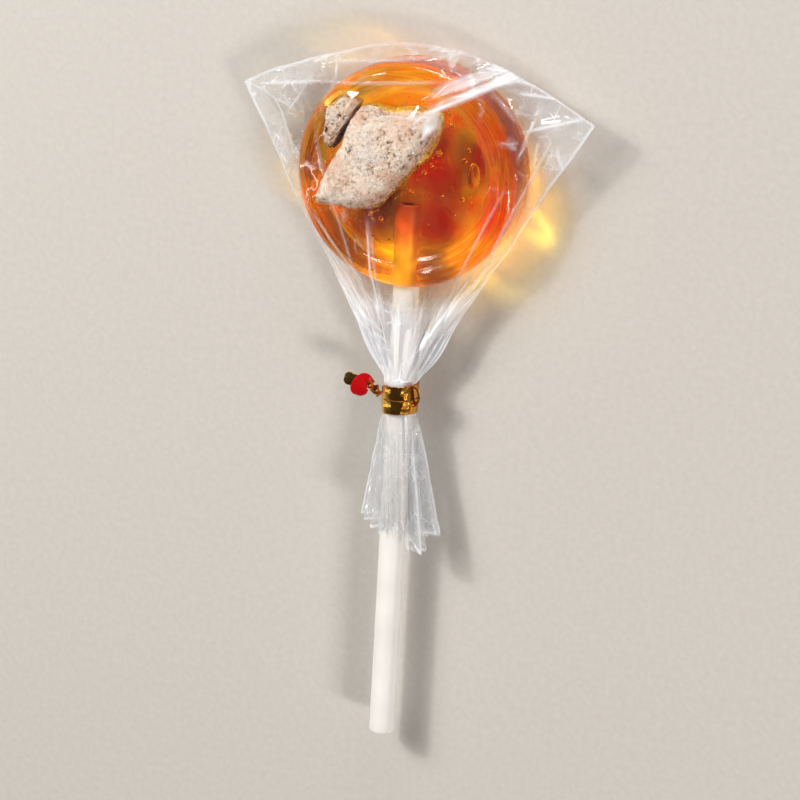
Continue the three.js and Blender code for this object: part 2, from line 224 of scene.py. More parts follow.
def add(tree, kind, settings=None, stops=(), **inputs):
    """Adds a node. Settings are its own properties, and stops a colour ramp's (position, hex) pairs.
    Each input is a value, an sRGB hex colour or an output socket to link. An underscore in an
    input's name stands for a space, and _2 is the input with the number 2."""
    node = tree.nodes.new(kind)
    for key, value in (settings or {}).items():
        setattr(node, key, value)
    while stops and len(node.color_ramp.elements) < len(stops):
        node.color_ramp.elements.new(1.0)
    for number, (position, hex_code) in enumerate(stops):
        node.color_ramp.elements[number].position = position
        node.color_ramp.elements[number].color = colour(hex_code)
    for key, value in inputs.items():
        socket = node.inputs[int(key[1:])] if key[0] == "_" else node.inputs[key.replace("_", " ")]
        if isinstance(value, bpy.types.NodeSocket):
            tree.links.new(value, socket)
        else:
            socket.default_value = colour(value) if isinstance(value, str) else value
    return node


# %% [markdown]
# ## The camera
# The shown side faces up, so the camera looks down on it, a little from the candy's end and a little
# from its right. Its right-hand direction starts level across the stick, which would make the stick
# stand upright in the picture. It is then rolled a little, because the stick leans to the left.

# %% Place the camera
CAMERA_YAW = math.radians(17)
CAMERA_PITCH = math.radians(17)
CAMERA_ROLL = math.radians(3.2)
CAMERA_DISTANCE = 0.5
LENS = 126
LOOK_AT = Vector((0.0, -0.0005, 0.006))

towards_camera = Vector(
    (
        math.sin(CAMERA_YAW) * math.cos(CAMERA_PITCH),
        math.sin(CAMERA_PITCH),
        math.cos(CAMERA_YAW) * math.cos(CAMERA_PITCH),
    )
)
level_right = Vector((0, 1, 0)).cross(towards_camera).normalized()
level_up = towards_camera.cross(level_right)
camera_right = level_right * math.cos(CAMERA_ROLL) + level_up * math.sin(CAMERA_ROLL)
camera_up = towards_camera.cross(camera_right)
camera = bpy.data.objects.new("camera", bpy.data.cameras.new("camera"))
camera.data.lens = LENS
camera.data.clip_start = 0.01
camera.matrix_world = Matrix.Translation(LOOK_AT + towards_camera * CAMERA_DISTANCE) @ Matrix(
    (camera_right, camera_up, towards_camera)
).transposed().to_4x4()
bpy.context.scene.collection.objects.link(camera)
bpy.context.scene.camera = camera
view_width = CAMERA_DISTANCE * camera.data.sensor_width / LENS
print(f"the view is {view_width / MM:.0f} mm wide at the lollipop")

# %% [markdown]
# ## Table and light
# Clear film shows mostly by what it reflects, so the lights matter as much as the film. Small bright
# lamps with darker room between them give each crease a thin white line, where one big white dome
# would only make the film milky. The wide lamps that light the candy softly are kept out of gloss for
# that reason. The table is pale, because candy glows by the light that comes back through it from
# below.

# %% The table
# A matt laminate mirrors almost nothing. A faint speckle keeps it from being one flat tone. It is
# drawn coarser than the real one, which is too fine to show. Its width is in mm.
TABLE_SIZE = 3.0
TABLE_DROP = 0.02 * MM
SPECKLE_WIDTH = 10 / 9

table_finish, tree = new_material("pale_matt_laminate")
place = add(tree, "ShaderNodeTexCoord").outputs["Object"]
speckle = add(
    tree, "ShaderNodeTexNoise", Vector=place, Scale=pattern_scale(SPECKLE_WIDTH), Detail=3.0
).outputs["Fac"]
shade = add(tree, "ShaderNodeValToRGB", stops=((0.3, "#C9C6C2"), (0.7, "#CFCCC8")), _0=speckle)
finish = add(
    tree, "ShaderNodeBsdfPrincipled",
    Base_Color=shade.outputs["Color"], Roughness=0.6, Specular_IOR_Level=0.25,
)
add(tree, "ShaderNodeOutputMaterial", Surface=finish.outputs["BSDF"])

half = TABLE_SIZE / 2
table_mesh = bpy.data.meshes.new("table")
table_mesh.from_pydata(
    [(x, y, -TABLE_DROP) for x, y in ((-half, -half), (half, -half), (half, half), (-half, half))],
    [],
    [(0, 1, 2, 3)],
)
table_mesh.materials.append(table_finish)
table = bpy.data.objects.new("table", table_mesh)
bpy.context.scene.collection.objects.link(table)
print(f"the table is {TABLE_SIZE:.0f} m wide, its top {TABLE_DROP / MM:.2f} mm below the lollipop")


# %% Lamps
def add_lamp(name, place, aim, size, watts, tint="#FFFFFF", mirrored=True):
    """A rectangular lamp at a place, facing an aim, both in metres. Size is its two sides. One that is
    not mirrored gives light but does not show in gloss."""
    data = bpy.data.lights.new(name, "AREA")
    data.shape = "RECTANGLE"
    data.size, data.size_y = size
    data.energy = watts
    data.color = colour(tint)[:3]
    lamp = bpy.data.objects.new(name, data)
    lamp.location = place
    lamp.rotation_mode = "QUATERNION"
    lamp.rotation_quaternion = (Vector(aim) - Vector(place)).to_track_quat("-Z", "Y")
    lamp.visible_glossy = mirrored
    bpy.context.scene.collection.objects.link(lamp)
    print(f"{name}: {watts} W")


# The key light comes from the upper left and the fill light from the lower right. Gloss mirrors
# neither of them but a small window beside the one and a slit at the other, and two strips that give
# the far end and the left side thin lines of light.
TABLE_MIDDLE = (0.0, 0.0, 0.0)
CANDY_PLACE = (0.0, DISC_MIDDLE_Y * MM, 0.0)
KEY_PLACE = (-0.46, 0.44, 0.6)
FILL_PLACE = (0.62, -0.25, 0.5)
KEY_TINT = "#FFFAF2"
FILL_TINT = "#FFF8F2"

add_lamp("key_panel", KEY_PLACE, CANDY_PLACE, (0.4, 0.4), 5.0, KEY_TINT, mirrored=False)
add_lamp("key_core", KEY_PLACE, CANDY_PLACE, (0.09, 0.09), 2.35, KEY_TINT, mirrored=False)
add_lamp("key_window", (-0.46, 0.5, 0.6), CANDY_PLACE, (0.09, 0.09), 0.5, "#FFFDF8")
add_lamp("fill_panel", FILL_PLACE, TABLE_MIDDLE, (0.2, 0.2), 2.7, FILL_TINT, mirrored=False)
add_lamp("fill_slit", FILL_PLACE, TABLE_MIDDLE, (0.06, 0.25), 1.0, FILL_TINT)
add_lamp("back_strip", (0.1, 0.75, 0.3), CANDY_PLACE, (0.6, 0.05), 1.4)
add_lamp("left_strip", (-0.7, -0.15, 0.25), TABLE_MIDDLE, (0.02, 0.6), 0.25)

# %% The room
# A warm grey wall round the table, darker overhead, so that the film has something dark to mirror.
room = bpy.data.worlds.new("room")
room.use_nodes = True
room.node_tree.nodes.clear()
direction = add(room.node_tree, "ShaderNodeTexCoord").outputs["Generated"]
height = add(room.node_tree, "ShaderNodeSeparateXYZ", _0=direction).outputs["Z"]
sky = add(
    room.node_tree, "ShaderNodeValToRGB",
    stops=((0.0, "#B4AA9E"), (0.25, "#90867C"), (0.6, "#32302E")), _0=height,
).outputs["Color"]
glow = add(room.node_tree, "ShaderNodeBackground", Color=sky, Strength=0.72)
add(room.node_tree, "ShaderNodeOutputWorld", Surface=glow.outputs["Background"])
bpy.context.scene.world = room
bpy.context.scene.view_settings.view_transform = "Standard"
print(f"{room.name}: {len(room.node_tree.nodes)} nodes")

# %% [markdown]
# ## The plum's form
# Salted plum is dried fruit, torn in two here. Seen from above, a piece is a polygon with worn
# corners. Its reach in a direction is the soft least of the distances to its sides: each side gives
# (how squarely it is faced / its distance) to a high power, and the sum is taken back to the power
# of minus one. The same numbers stand in the part's source, so the fruit fills the pocket made for it.

# %% Outline and height of a piece of plum
PLUM = {
    "middle": (-5.4, 2.9, 7.9),
    "half_height": 5.1,
    "roundness": 14,
    "sides": ((156, 7.0), (90, 8.4), (-11, 9.4), (-39, 6.0), (275, 9.1)),
    "lumps": ((3, 0.015, 0.6), (7, 0.025, 2.1)),
}
SLIVER = {
    "middle": (-12.9, 8.9, 8.5),
    "half_height": 3.8,
    "roundness": 8,
    "sides": ((178, 2.2), (128, 2.6), (61, 4.9), (-27, 1.85), (241, 5.4)),
    "lumps": ((3, 0.04, 1.1), (5, 0.03, 0.3)),
}
BLUNTNESS = 0.4
FLATNESS = 0.85


def plum_reach(fruit, angle, level=0.0):
    """How far the piece reaches from its middle in a direction, at a level from -1 to 1: the soft
    least of the distances to its sides, times one plus the waves of its lumps."""
    total = 0.0
    for normal, distance in fruit["sides"]:
        facing = np.maximum(0, np.cos(angle - math.radians(normal)))
        total = total + (facing / distance) ** fruit["roundness"]
    lump = 1.0
    for count, size, phase in fruit["lumps"]:
        lump = lump + size * np.sin(count * angle + phase + 1.5 * level)
    return total ** (-1 / fruit["roundness"]) * lump


def plum_top(fruit, x, y):
    """Height of the piece's upper side over a point. With q the share of the reach at that point, it
    is the middle's height plus half the thickness times (1 - q^(2/bluntness))^(flatness/2)."""
    dx = x - fruit["middle"][0]
    dy = y - fruit["middle"][1]
    share = np.hypot(dx, dy) / plum_reach(fruit, np.arctan2(dy, dx))
    dome = np.maximum(0, 1 - np.minimum(share, 1) ** (2 / BLUNTNESS)) ** (FLATNESS / 2)
    top = fruit["middle"][2] + fruit["half_height"] * dome
    return np.where(share < 1, top, -1.0)


def plum_distance(fruit, x, y):
    """How far outside the piece's outline a point lies, below zero inside it."""
    dx = x - fruit["middle"][0]
    dy = y - fruit["middle"][1]
    return np.hypot(dx, dy) - plum_reach(fruit, np.arctan2(dy, dx))


# %% [markdown]
# ## The candy's face
# How high the candy stands round the fruit has to be known before either is made, because the fruit is
# clean and dark below that level and powdered above it.

# %% The candy's form
RECESS_DEPTH = 1.8
RECESS_RADIUS = 14.2
CREST_RADIUS = 17.5
SHOULDER_DROP = 2.3
BACK_EDGE = 1.2
COLLAR_HEIGHT = 0.45
COLLAR_WIDTH = 1.1
RING_HEIGHT = 0.05
RING_SPACING = 1.45
RIPPLE_HEIGHT = 0.14
FACE_WAVES = ((2, 0.14, 1.1), (5, 0.09, 0.4))
FACE_SETTLED = 0.2


def waves(angle, terms):
    """Sum of sine waves round a circle. Each term is how many waves go round, their height and how
    far they are turned."""
    return sum(height * np.sin(count * angle + phase) for count, height, phase in terms)


def candy_face(x, y):
    """Height of the face over a point: an S from the recess up to the rim's crest, a quarter ellipse
    down from there to the side, slow waves round the rim, fine rings where the candy crept as it set,
    and a collar that falls off from the plum as e to the minus (distance / width) squared."""
    out = np.hypot(x, y)
    angle = np.arctan2(y, x)
    recess = RECESS_DEPTH * (1 - smooth(RECESS_RADIUS, CREST_RADIUS, out))
    beyond = np.clip((out - CREST_RADIUS) / (DISC_RADIUS - CREST_RADIUS), 0, 1)
    shoulder = SHOULDER_DROP * (1 - np.sqrt(1 - beyond**2))
    uneven = (waves(angle, FACE_WAVES) - FACE_SETTLED) * smooth(6, 15, out)
    ripples = RIPPLE_HEIGHT * noise(x, y, 0.0, 5.0, 3)
    crept = smooth(13.5, 15.5, out) * (1 - smooth(18.2, 19.4, out))
    rings = RING_HEIGHT * np.sin(2 * math.pi * out / RING_SPACING + 2.5 * noise(x, y, 0.0, 9.0, 7))
    height = RIM_Z - recess - shoulder + uneven + ripples + rings * crept
    for fruit in (PLUM, SLIVER):
        away = np.maximum(0, plum_distance(fruit, x, y)) / COLLAR_WIDTH
        height = height + COLLAR_HEIGHT * np.exp(-(away**2))
    return height


# %% [markdown]
# ## The salted plum
# Dried fruit is craggy: the skin has drawn into folds, salt has crystallised in a grey-white powder
# over the high places, and brown flesh shows in the pits. So the dome gets four kinds of relief, and
# how deep each point lies is kept as a number. The material turns that number into powder on top and
# brown in the pits, so the colour always follows the form.
# That number also holds painted shade: the flesh is darker on the plum's lower side and just above the
# candy's face.

# %% Salted plum finish
# Powder and dried flesh are matt, and a little light goes into the flesh and comes out beside. Real
# powder is finer than these grains, which are as coarse as they need to be to show. Wide blotches
# blush the flesh. The colours run from salt to the brown of the pits. Widths are in mm.
POWDER_GRAIN = 10 / 17
BLOTCH_WIDTH = 100 / 26
POWDER_STRENGTH = 1.5
POWDER_LEVEL = 0.72

plum_finish, tree = new_material("salted_dried_plum")
place = add(tree, "ShaderNodeTexCoord").outputs["Object"]
# Painted shade is in this number too, as darker flesh on the lower side and next to the candy.
depth_and_painted_shade = add(tree, "ShaderNodeAttribute", {"attribute_name": "depth_and_painted_shade"}).outputs["Fac"]
powder = add(
    tree, "ShaderNodeTexNoise",
    Vector=place, Scale=pattern_scale(POWDER_GRAIN), Detail=4.0, Roughness=0.7,
).outputs["Fac"]
blotches = add(
    tree, "ShaderNodeTexNoise", Vector=place, Scale=pattern_scale(BLOTCH_WIDTH), Detail=3.0
).outputs["Fac"]
dusted = add(
    tree, "ShaderNodeMath", {"operation": "MULTIPLY_ADD"}, _0=powder, _1=POWDER_STRENGTH, _2=depth_and_painted_shade
).outputs[0]
bareness = add(tree, "ShaderNodeMath", {"operation": "SUBTRACT"}, _0=dusted, _1=POWDER_LEVEL).outputs[0]
flesh = add(
    tree, "ShaderNodeValToRGB", _0=bareness,
    stops=((0.2, "#F3E6DA"), (0.46, "#E3D3C4"), (0.6, "#C4AF9E"), (0.74, "#94775F"), (0.95, "#4A2D1D")),
).outputs["Color"]
blush = add(
    tree, "ShaderNodeValToRGB", stops=((0.42, "#FFFFFF"), (0.66, "#F1D9CE")), _0=blotches
).outputs["Color"]
blushed = add(
    tree, "ShaderNodeMix", {"data_type": "RGBA", "blend_type": "MULTIPLY"}, _0=1.0, _6=flesh, _7=blush
).outputs[2]
bump = add(tree, "ShaderNodeBump", Height=powder, Strength=0.5, Distance=0.12 * MM).outputs["Normal"]
finish = add(
    tree, "ShaderNodeBsdfPrincipled", Base_Color=blushed, Roughness=0.88, Normal=bump,
    Specular_IOR_Level=0.3, Subsurface_Weight=0.12, Subsurface_Scale=1.0,
    Subsurface_Radius=(0.6 * MM, 0.35 * MM, 0.25 * MM),
)
add(tree, "ShaderNodeOutputMaterial", Surface=finish.outputs["BSDF"])
print(f"{plum_finish.name}: {len(tree.nodes)} nodes")


# %% Carve a piece of plum
LUMP_HEIGHT, LUMP_SIZE = 0.3, 4.6
FOLD_HEIGHT, FOLD_SIZE = 0.24, 1.9
PIT_DEPTH, PIT_SIZE = 0.28, 0.8
GRIT_HEIGHT, GRIT_SIZE = 0.12, 0.42


def plum_relief(x, y, z, seed):
    """Relief in mm, outwards above zero: broad lumps, folds (one minus the size of noise, which gives
    sharp valleys), pits in some places and fine grit. The second value is how deep a point lies in
    them."""
    lumps = LUMP_HEIGHT * rough(x, y, z, LUMP_SIZE, 2, seed)
    folds = FOLD_HEIGHT * (0.35 - np.abs(noise(x, y, 0.7 * z, FOLD_SIZE, seed + 10)) ** 0.7)
    where = smooth(-0.1, 0.6, noise(x, y, z, 3.0, seed + 15))
    pits = -PIT_DEPTH * where * smooth(0.3, 0.8, rough(x, y, z, PIT_SIZE, 2, seed + 20))
    grit = GRIT_HEIGHT * rough(x, y, z, GRIT_SIZE, 2, seed + 30)
    return lumps + folds + pits + grit, -1.4 * folds - 1.3 * pits - 1.5 * grit - 0.2 * lumps


def plum_profile(levels, samples=4000):
    """Reach and rise of the rings from the lowest to the highest, as shares of the full ones, an even
    way apart along the outline: the rise is (1 - reach^(2/bluntness))^(flatness/2), down and up."""
    reach = np.sin(np.linspace(0, math.pi / 2, samples))
    rise = -((1 - reach ** (2 / BLUNTNESS)) ** (FLATNESS / 2))
    reach = np.concatenate([reach, reach[-2::-1]])
    rise = np.concatenate([rise, -rise[-2::-1]])
    way = np.concatenate([[0], np.cumsum(np.hypot(np.diff(reach) * 2, np.diff(rise)))])
    stops = np.linspace(0, way[-1], levels + 2)[1:-1]
    return np.interp(stops, way, reach)[:, None], np.interp(stops, way, rise)[:, None]


# %% Make both pieces of plum
# How dark the flesh sunk in the candy is, and the painted shade that darkens its lower side.
BARE_DEPTH = 0.58
LOWER_SIDE_PAINTED_SHADE = 0.16


def make_plum(name, node, fruit, around, levels, seed, browner=0.0):
    """The piece as rings from its lowest point to its highest, each as far out as its outline times
    the profile's reach. Relief pushes it outwards. Powder lies on what stands out of the candy, and
    below its face the flesh is dark. Painted shade carries that dark up to 1.5 mm out of the candy
    along its edge and makes it darkest on the lower side. Browner is added to the powdered part's
    number, which makes it browner."""
    share, rise = plum_profile(levels)
    angle = full_turn(around)
    reach = plum_reach(fruit, angle, rise) * share
    rings = np.stack(
        [
            fruit["middle"][0] + reach * np.cos(angle),
            fruit["middle"][1] + reach * np.sin(angle),
            fruit["middle"][2] + fruit["half_height"] * rise + 0 * angle,
        ],
        -1,
    ).reshape(-1, 3)
    middle = np.array(fruit["middle"])
    poles = middle + np.array([[0, 0, -1.0], [0, 0, 1.0]]) * fruit["half_height"]
    points = np.concatenate([rings, poles])
    outwards = points - middle
    outwards /= np.linalg.norm(outwards, axis=1, keepdims=True)
    relief, deep = plum_relief(*points.T, seed)
    points = points + outwards * relief[:, None]
    over_candy = points[:, 2] - candy_face(points[:, 0], points[:, 1])
    side = np.arctan2(points[:, 1] - middle[1], points[:, 0] - middle[0])
    # Painted shade: the flesh is darker on the lower side, and the dark reaches 1.5 mm above the candy's
    # face.
    bare_flesh_and_painted_shade = BARE_DEPTH - LOWER_SIDE_PAINTED_SHADE * np.sin(side)
    deep = mix(bare_flesh_and_painted_shade, smooth(-0.4, 0.75, deep) + browner, smooth(-0.9, 1.5, over_candy))
    piece = make_piece(
        name, points, closed_faces(levels, around), plum_finish, [node]
    )
    paint(piece, "depth_and_painted_shade", deep)
    return piece


plum = make_plum("plum_piece_salted", "plum_piece", PLUM, 380, 200, 5)
sliver = make_plum("plum_sliver_salted", "plum_sliver", SLIVER, 200, 110, 71, browner=0.03)

# %% [markdown]
# ## Salt grains
# Coarse salt and sugar grains stand up from the powder and catch the light. Each is a cube that is
# turned and pulled at random, with six faces, set on the upper side of the fruit where the relief is
# known.

# %% Grain finish
# Crystals are smooth and let some light in, and no two are equally white: clouds this many mm wide
# change the shade from one to the next.
WHITENESS_CLOUD = 10 / 7

grain_finish, tree = new_material("salt_crystals")
place = add(tree, "ShaderNodeTexCoord").outputs["Object"]
clouds = add(
    tree, "ShaderNodeTexNoise", Vector=place, Scale=pattern_scale(WHITENESS_CLOUD), Detail=1.0
).outputs["Fac"]
shade = add(tree, "ShaderNodeValToRGB", stops=((0.4, "#EFE7E1"), (0.6, "#FFFFFF")), _0=clouds)
finish = add(
    tree, "ShaderNodeBsdfPrincipled", Base_Color=shade.outputs["Color"], Roughness=0.35,
    Subsurface_Weight=0.3, Subsurface_Scale=1.0, Subsurface_Radius=(0.3 * MM, 0.3 * MM, 0.3 * MM),
)
add(tree, "ShaderNodeOutputMaterial", Surface=finish.outputs["BSDF"])
print(f"{grain_finish.name}: {len(tree.nodes)} nodes")


# %% Scatter grains over the fruit
FACING_UP = 0.55
SMALLEST_GRAIN = 0.05
GRAIN_SPREAD = 0.1


def turned(cube, draw, count):
    """The cube's corners, each pulled in or out at random, and all turned about two axes by random
    angles, once for each grain."""
    first, second = draw.uniform(0, 2 * math.pi, (2, count, 1))
    x, y, z = (cube * draw.uniform(0.6, 1.4, (count, 8, 1))).transpose(2, 0, 1)
    x, y = x * np.cos(first) - y * np.sin(first), x * np.sin(first) + y * np.cos(first)
    y, z = y * np.cos(second) - z * np.sin(second), y * np.sin(second) + z * np.cos(second)
    return np.stack([x, y, z], -1)


def make_grains(fruits, count, seed):
    """Grains on points drawn from where the finished fruit faces up. Half a grain's side is that of
    the smallest plus the spread times the square of a draw, so that small ones are more common."""
    draw = np.random.default_rng(seed)
    spots = []
    for fruit in fruits:
        place = np.empty(len(fruit.data.vertices) * 3)
        fruit.data.vertices.foreach_get("co", place)
        place = place.reshape(-1, 3) / MM - [0, DISC_MIDDLE_Y, 0]
        normals = np.empty(len(place) * 3)
        fruit.data.vertices.foreach_get("normal", normals)
        spots.append(place[normals.reshape(-1, 3)[:, 2] > FACING_UP])
    spots = draw.choice(np.concatenate(spots), count, replace=False)
    cube = np.array(list(itertools.product((-1.0, 1.0), repeat=3)))[None]
    size = SMALLEST_GRAIN + GRAIN_SPREAD * draw.uniform(0, 1, (count, 1, 1)) ** 2
    points = spots[:, None] + turned(cube, draw, count) * size
    sides = np.array([[0, 1, 3, 2], [4, 6, 7, 5], [0, 4, 5, 1], [2, 3, 7, 6], [0, 2, 6, 4], [1, 5, 7, 3]])
    faces = [(sides + 8 * np.arange(count)[:, None, None]).reshape(-1, 4)]
    return make_piece("salt_grains", points, faces, grain_finish)


make_grains([plum, sliver], 450, 13)

# %% [markdown]
# ## The candy disc
# Maltose candy is a sugar glass. It was poured hot into a round mould and set with a flat back, an
# upright side and a rounded rim round a shallow recess. It wetted the fruit while it was hot, so a
# small collar climbs the plum all round.
# Its colour is in its depth: a thin edge is golden and the thick middle deep orange. So the surface
# is clear, and a volume inside it absorbs blue strongly and green a little. Sugar that was boiled a
# little longer is browner, in clouds. That is a base colour on the back, seen through the clear depth
# of the candy. The same base colour also holds painted shade: rings under the rim, a darker side and
# deep red pools, and it is left golden in pools where light is painted.

# %% Clear amber finish
# The index of refraction is that of sugar glass, and what was poured is smooth, with ripples that
# are left from the pouring. The back and the lower side took the dull finish of the mould.
CANDY_IOR = 1.49
CANDY_DENSITY = 400.0
CANDY_TINT = (0.975, 0.855, 0.0, 1.0)
FACE_ROUGHNESS = 0.03
BACK_DULLER = 0.4
RIPPLE_WIDTH = 100 / 17

candy_finish, tree = new_material("amber_sugar_glass")
place = add(tree, "ShaderNodeTexCoord").outputs["Object"]
ripple = add(
    tree, "ShaderNodeTexNoise", Vector=place, Scale=pattern_scale(RIPPLE_WIDTH), Detail=2.0
).outputs["Fac"]
bump = add(tree, "ShaderNodeBump", Height=ripple, Strength=0.35, Distance=0.25 * MM).outputs["Normal"]
matt = add(tree, "ShaderNodeAttribute", {"attribute_name": "matt"}).outputs["Fac"]
dull = add(
    tree, "ShaderNodeMath", {"operation": "MULTIPLY_ADD"}, _0=matt, _1=BACK_DULLER, _2=FACE_ROUGHNESS
).outputs[0]
# This number is partly boiled sugar and partly painted shade. The ramp runs from clear to deep red.
stain_and_painted_shade = add(tree, "ShaderNodeAttribute", {"attribute_name": "stain_and_painted_shade"}).outputs["Fac"]
browned_and_painted_shade = add(
    tree, "ShaderNodeValToRGB", _0=stain_and_painted_shade,
    stops=((0.0, "#FFFFFF"), (0.35, "#FFB08A"), (0.7, "#FF5830"), (1.0, "#FA200A")),
).outputs["Color"]
glass = add(
    tree, "ShaderNodeBsdfPrincipled", Base_Color=browned_and_painted_shade, Roughness=dull, Normal=bump,
    IOR=CANDY_IOR, Transmission_Weight=1.0,
)
gathered = add(tree, "ShaderNodeAttribute", {"attribute_name": "gather"}).outputs["Fac"]
lamp_tint = add(tree, "ShaderNodeBsdfTransparent", Color=gathered)
is_lamp_ray = add(tree, "ShaderNodeLightPath").outputs["Is Shadow Ray"]
surface = add(
    tree, "ShaderNodeMixShader",
    _0=is_lamp_ray, _1=glass.outputs["BSDF"], _2=lamp_tint.outputs["BSDF"],
)
depth_colour = add(tree, "ShaderNodeVolumeAbsorption", Color=CANDY_TINT, Density=CANDY_DENSITY)
add(
    tree, "ShaderNodeOutputMaterial",
    Surface=surface.outputs["Shader"], Volume=depth_colour.outputs["Volume"],
)
print(f"{candy_finish.name}: {len(tree.nodes)} nodes")


# %% [markdown]
# ## Where the candy gathers light
# A disc of glass is a lens. It gathers the lamps' light in bright lines, pools and arcs, and leaves
# other places darker. Cycles lets lamp light through glass in straight lines only, and colours it by
# what the surface says on the way. So how much light each point gathers is worked out here and kept
# as a number for the point, once where light enters, on the face and the side, and once where it
# leaves at the back. What is drawn there is seen from above through the whole depth of the candy.

# %% What gathers light
# Shares of plain light at the rim and in the recess, and what is added to them where more gathers.
RIM_LIGHT = 0.33
RECESS_LIGHT = 1.12
UPPER_LEFT_LIGHT = 1.3
SLOPE_LIGHT = 3.4
LINE_LIGHT = 1.3
ARC_LIGHT = 0.9
# The rings under the rim: how far apart, how much they change the light that leaves, and how much
# painted shade browns them. Then how much painted shade browns the side.
RING_GAP = 1.3
RING_LIGHT = 0.45
RING_PAINTED_SHADE = 0.26
SIDE_PAINTED_SHADE = 0.3
# Lenses of the face: middle x and y, half width in x and y, light added. The fill light comes in
# through the right side, so that is where the middle of the candy gets its light from.
LENSES = (
    (17.0, -1.0, 3.4, 8.0, 2.2),
    (9.0, 1.0, 4.5, 6.0, -0.5),
    (13.0, -13.0, 4.0, 4.0, 0.8),
)
# Pools on the back: middle x and y, half width in x and y, times brighter, and browning added.
# The browning of a pool is painted shade. Below zero it takes browning away where golden light is painted.
POOLS = (
    (5.5, -7.5, 3.6, 4.8, 1.0, 0.5),
    (0.8, 0.5, 2.4, 2.6, 1.0, 0.5),
    (11.6, 2.6, 1.3, 3.6, 0.9, 0.6),
    (-9.5, -11.0, 3.5, 3.0, 1.0, 0.3),
    (9.5, 6.9, 1.7, 1.9, 2.0, -0.6),
    (5.2, 4.5, 2.6, 3.4, 1.1, 0.35),
    (6.0, -1.0, 7.0, 9.0, 1.45, 0.0),
    (-3.6, -15.6, 4.6, 1.9, 2.6, -0.6),
    (16.5, -7.0, 3.5, 8.0, 0.55, 0.6),
    (14.5, 9.5, 3.5, 6.0, 0.9, 0.45),
    (-16.0, -6.0, 3.5, 8.0, 2.2, 0.4),
)
print(f"{len(LENSES)} lenses on the face and {len(POOLS)} pools on the back")


# %% Light that enters
def bump_at(value, middle, width):
    """A hill of height 1: e to the minus (distance from its middle / width) squared."""
    return np.exp(-(((value - middle) / width) ** 2))


def entering_light(x, y, z, out):
    """Light that enters at the face and the side: little at the rim and more in the recess. Added to
    it are the upper left side and the lower left slope of the recess, each a hill round the disc,
    thin lines where noise crosses zero, as ripples of the face would focus light, an arc that wanders
    on the rim's slope, and the lenses, which stay on the face."""
    angle = np.degrees(np.arctan2(y, x)) % 360
    upper_left = bump_at(angle, 123, 38) * smooth(18.5, 19.9, out)
    slope = bump_at(angle, 219, 20) * bump_at(out, 15.5, 2.2)
    lines = bump_at(noise(x, y, 0.3 * z, 6.5, 101), 0.0, 0.1)
    arcs = bump_at(out + 0.8 * noise(x, y, 0.0, 8.0, 103), 16.6, 0.5)
    light = mix(RIM_LIGHT, RECESS_LIGHT, 1 - smooth(12.5, 16.0, out)) + UPPER_LEFT_LIGHT * upper_left
    light = light + SLOPE_LIGHT * slope + LINE_LIGHT * lines + ARC_LIGHT * arcs
    on_face = 1 - smooth(18.3, 19.5, out)
    for lens_x, lens_y, half_x, half_y, added in LENSES:
        light = light + added * on_face * bump_at(x, lens_x, half_x) * bump_at(y, lens_y, half_y)
    return light


# %% Light that leaves, and the brown of the candy with its painted shade
def leaving_light(x, y, out):
    """Light that leaves at the back, and how brown the candy is there, partly from boiled sugar and partly
    from painted shade: faint rings under the rim, which wander as noise does, clouds in the middle, and
    the pools, each a hill in x times one in y."""
    rings = np.sin(2 * math.pi * out / RING_GAP + 2.0 * noise(x, y, 0.0, 9.0, 107))
    under_rim = smooth(13.0, 15.0, out)
    light = 1 + RING_LIGHT * rings * under_rim
    clouds = 0.45 + 0.5 * rough(x, 0.7 * y, 0.0, 3.6, 2, 105)
    browning_and_painted_shade = (1 - smooth(11.0, 15.0, out)) * clouds + RING_PAINTED_SHADE * (rings + 0.5) * under_rim
    for pool_x, pool_y, half_x, half_y, brighter, browner in POOLS:
        inside = bump_at(x, pool_x, half_x) * bump_at(y, pool_y, half_y)
        light = light * mix(1.0, brighter, inside)
        browning_and_painted_shade = browning_and_painted_shade + browner * inside
    return light, np.clip(browning_and_painted_shade, 0, 1)


def gathered_light(points):
    """How many times brighter the light is that goes through each point of the candy's surface, and
    how brown the candy is there, partly from boiled sugar and partly from painted shade: by height, the
    values of the back give way to those above it, where only the side is brown, by painted shade."""
    x, y, z = points.T
    out = np.hypot(x, y)
    leaving, browning_and_painted_shade = leaving_light(x, y, out)
    light = mix(leaving, entering_light(x, y, z, out), smooth(BACK_Z + 0.5, BACK_Z + 2.0, z))
    at_back = 1 - smooth(BACK_Z + 0.1, BACK_Z + 0.8, z)
    # Painted shade: the side is made browner than the face.
    return light, mix(SIDE_PAINTED_SHADE * smooth(19.2, 19.8, out), browning_and_painted_shade, at_back)


# %% Carry the candy's outline round
OUTLINE_WAVES = ((2, 0.006, 0.7), (3, 0.004, 2.0))
OUTLINE_SHRUNK = 0.006
SIDE_SWELLING = 0.12


